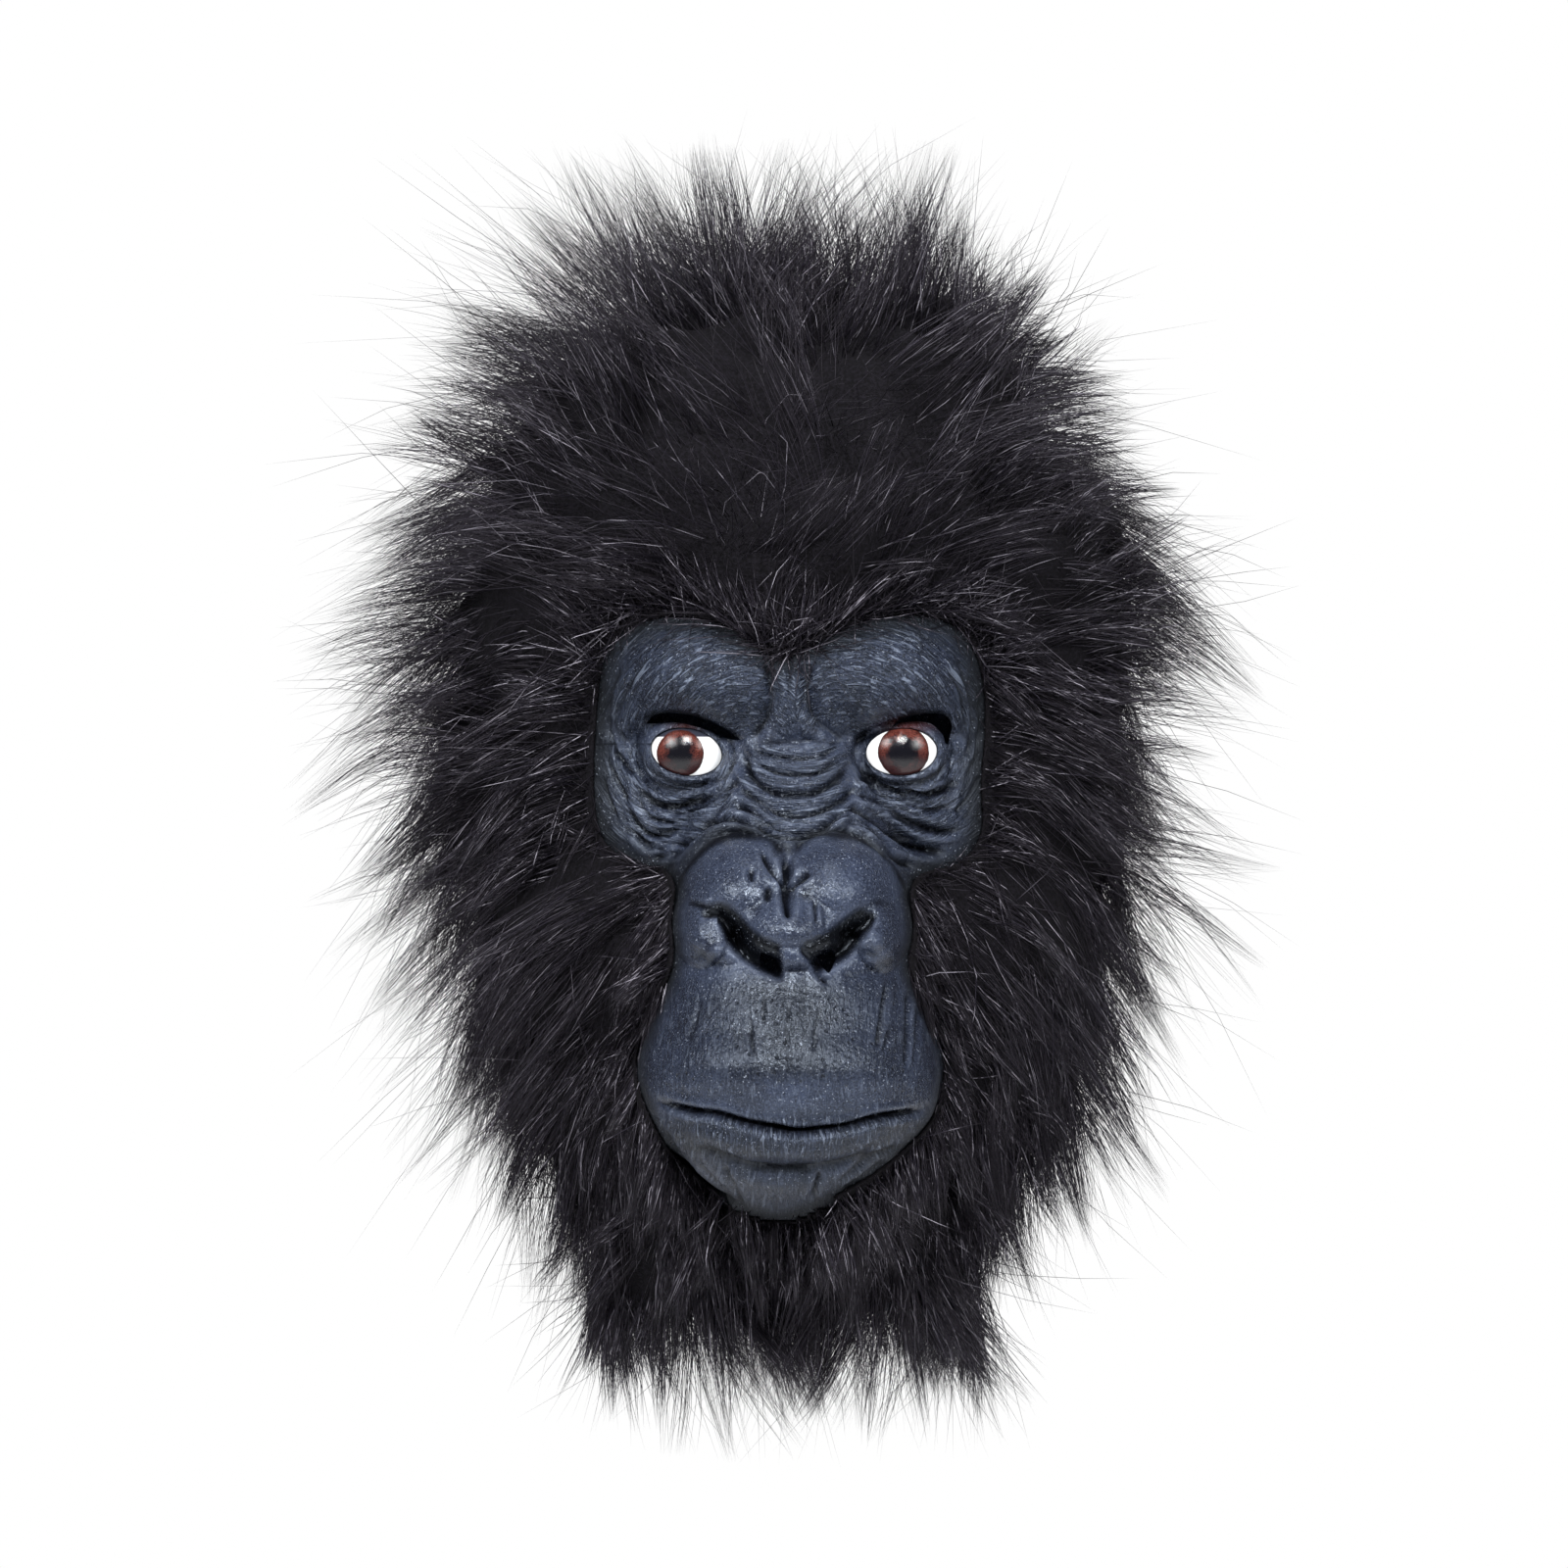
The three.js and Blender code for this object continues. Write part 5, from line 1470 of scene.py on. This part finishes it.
# %% Colour and gloss of the rubber
NEARLY_BLACK = (0.004, 0.005, 0.008)
crease, shade = mask_of(tree, "crease"), mask_of(tree, "shade")
# painted glints: small pale flecks, kept out of the creases
painted_glint_specks = graded(tree, noise(tree, place, 1500.0, 1.0), [(0.69, 0.0), (0.74, 1.0)])
coat = blend_colours(
    tree, graded(tree, patches, [(0.38, 0.0), (0.62, 1.0)]), (0.0135, 0.0167, 0.0285), (0.0245, 0.0315, 0.054)
)
# from the lowest layer to the highest: how much of it shows, then its colour
for shown, colour in (
    (graded(tree, grain, [(0.34, 0.75), (0.46, 0.0)]), NEARLY_BLACK),
    (graded(tree, grain, [(0.52, 0.0), (0.68, 0.5)]), (0.08, 0.098, 0.145)),
    # painted highlight on the ridges of the carving
    (times(tree, mask_of(tree, "ridge"), 0.5), (0.075, 0.09, 0.13)),
    # painted highlights on the crests of the fine lines
    (times(tree, times(tree, painted_crest_highlights, lined), 0.55), (0.15, 0.178, 0.235)),
    # painted shade in the grooves of the fine lines
    (times(tree, times(tree, minus(tree, 1.0, cut_lines), lined), 0.85), NEARLY_BLACK),
    # painted shade in the pores
    (times(tree, pore, 0.8), (0.006, 0.007, 0.011)),
    # painted shade in the creases of the carving
    (crease, (0.003, 0.0035, 0.006)),
    (times(tree, mask_of(tree, "stain"), 0.8), (0.06, 0.014, 0.01)),
    # painted shade at the fur's edge, over the nose and on the lower face
    (times(tree, shade, 0.96), (0.0015, 0.0015, 0.002)),
    # deep painted shade in the nostrils and on the middle of the upper lip
    (mask_of(tree, "dim"), (0.0008, 0.0008, 0.0012)),
    # painted glints
    (times(tree, times(tree, painted_glint_specks, minus(tree, 1.0, crease)), 0.7), (0.25, 0.28, 0.34)),
):
    coat = blend_colours(tree, shown, coat, colour)
tree.links.new(coat, shader.inputs["Base Color"])
gloss = plus(tree, graded(tree, patches, [(0.32, 0.17), (0.68, 0.31)]), times(tree, shade, 0.4))
tree.links.new(gloss, shader.inputs["Roughness"])
shader.inputs["Specular IOR Level"].default_value = 0.34
shader.inputs["Specular Tint"].default_value = (0.76, 0.86, 1.0, 1)
dress([rubber_head_cast], rubber)
print("finish:", rubber.name)

# %% [markdown]
# ### Painted eyes
# White, a red-brown iris with a dark soft middle, and thick clear gloss. The paint is laid on in rings round the
# iris's middle, which a Mapping node brings to zero; noise frays the rings as a brush does. Above a certain height
# the white is painted over in the lid's colour.

# %% Eye finishes
WHITE, LID_PAINT = (0.82, 0.83, 0.84), (0.028, 0.031, 0.045)
for side, (dome, iris) in domes.items():
    paint, tree, shader, place = finish_named("painted_eye_" + side)
    centred = stretched(tree, place, (1, 0, 1), location=(-iris[0] * MM, 0, -iris[2] * MM))
    distance = tree.nodes.new("ShaderNodeVectorMath")
    distance.operation = "LENGTH"
    tree.links.new(centred, distance.inputs[0])
    away = distance.outputs["Value"]
    wobble, wide_wobble = unevenness(tree, place, 2800.0, 420.0)
    centre = minus(tree, wide_wobble, 0.5)
    rings = maths(tree, "DIVIDE", plus(tree, away, times(tree, centre, 0.0007)), IRIS_RADIUS[side] * MM / 0.8)
    blot = maths(tree, "DIVIDE", plus(tree, away, times(tree, centre, 0.007)), IRIS_RADIUS[side] * MM)
    parts_of = tree.nodes.new("ShaderNodeSeparateXYZ")
    tree.links.new(centred, parts_of.inputs[0])
    level_of = parts_of.outputs[2]
    low_half = graded(tree, plus(tree, times(tree, level_of, 90), 0.5), [(0.25, 0.85), (0.62, 0.0)])
    brown = blend_colours(
        tree, graded(tree, wobble, [(0.38, 0.0), (0.62, 1.0)]), (0.024, 0.007, 0.006), (0.14, 0.036, 0.026)
    )
    for shown, tone in (
        (low_half, (0.014, 0.007, 0.009)),
        (graded(tree, blot, [(0.5, 1.0), (0.74, 0.0)]), (0.004, 0.004, 0.006)),
        (graded(tree, rings, [(0.7, 0.0), (0.78, 0.7)]), (0.02, 0.005, 0.004)),
    ):
        brown = blend_colours(tree, shown, brown, tone)
    over_lid = times(tree, minus(tree, level_of, LID_LEVEL[side] * MM), 1000)
    white = blend_colours(tree, graded(tree, over_lid, [(0.0, 0.0), (0.3, 1.0)]), WHITE, LID_PAINT)
    colour = blend_colours(tree, graded(tree, rings, [(0.79, 0.0), (0.81, 1.0)]), brown, white)
    tree.links.new(colour, shader.inputs["Base Color"])
    shader.inputs["Roughness"].default_value = 0.06
    shader.inputs["Specular IOR Level"].default_value = 0.36
    give_relief(tree, shader, wobble, 0.00007, strength=0.8)
    dress([dome], paint)
print("finish: eyes")

# %% [markdown]
# ### Fur
# Acrylic pile is nearly black with a cold blue and a warm violet hair here and there, and each hair is glossy. A
# strand's own map gives the place along it and a number of its own. The number sets how dark it is, and on the paler
# strands noise along the strand paints short bright patches: painted glints, as light makes on a bent hair.

# %% Fur finishes
fibre, tree, shader, _ = finish_named("fur_fibre")
own_map = node_in(tree, "ShaderNodeUVMap", uv_map="OFBake").outputs[0]
parts_of = tree.nodes.new("ShaderNodeSeparateXYZ")
tree.links.new(own_map, parts_of.inputs[0])
own_number = parts_of.outputs[1]
tint = graded(
    tree,
    own_number,
    [
        (0.0, (0.0022, 0.0018, 0.003)),
        (0.6, (0.006, 0.005, 0.0085)),
        (0.85, (0.013, 0.0115, 0.018)),
        (1.0, (0.04, 0.037, 0.048)),
    ],
)
PATCH_SCALE = (5, 1500, 1)
along_hair = noise(tree, stretched(tree, own_map, PATCH_SCALE), 1.0, 1.0)
paler_ones = graded(tree, own_number, [(0.66, 0.0), (0.8, 0.35), (1.0, 1.0)])
# painted glints along the paler strands
glint = times(tree, graded(tree, along_hair, [(0.5, 0.0), (0.6, 1.0)]), paler_ones)
tint = blend_colours(tree, glint, tint, (0.3, 0.285, 0.33))
tree.links.new(tint, shader.inputs["Base Color"])
tree.links.new(graded(tree, own_number, [(0.0, 0.6), (0.7, 0.42), (0.9, 0.25)]), shader.inputs["Roughness"])
shader.inputs["Specular Tint"].default_value = (0.95, 0.88, 1.0, 1)
shader.inputs["Specular IOR Level"].default_value = 0.3
dress(strands, fibre)

pile_finish, tree, shader, place = finish_named("fur_pile")
thicket, _ = unevenness(tree, place, 900.0, 60.0)
depths = graded(tree, thicket, [(0.4, 0.0), (0.7, 1.0)])
pile_colour = blend_colours(tree, depths, (0.0025, 0.0022, 0.003), (0.008, 0.007, 0.010))
tree.links.new(pile_colour, shader.inputs["Base Color"])
shader.inputs["Roughness"].default_value = 0.9
shader.inputs["Specular IOR Level"].default_value = 0.1
give_relief(tree, shader, thicket, 0.001)
dress([fur_hood_pile, fur_collar_pile], pile_finish)
print("finish: fur")

# %% Sizes
added = {
    thing.name: sum(len(p.vertices) - 2 for p in thing.data.polygons)
    for thing in bpy.data.objects
    if thing.type == "MESH" and thing.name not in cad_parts
}
print("triangles added:", added, "in all", sum(added.values()))
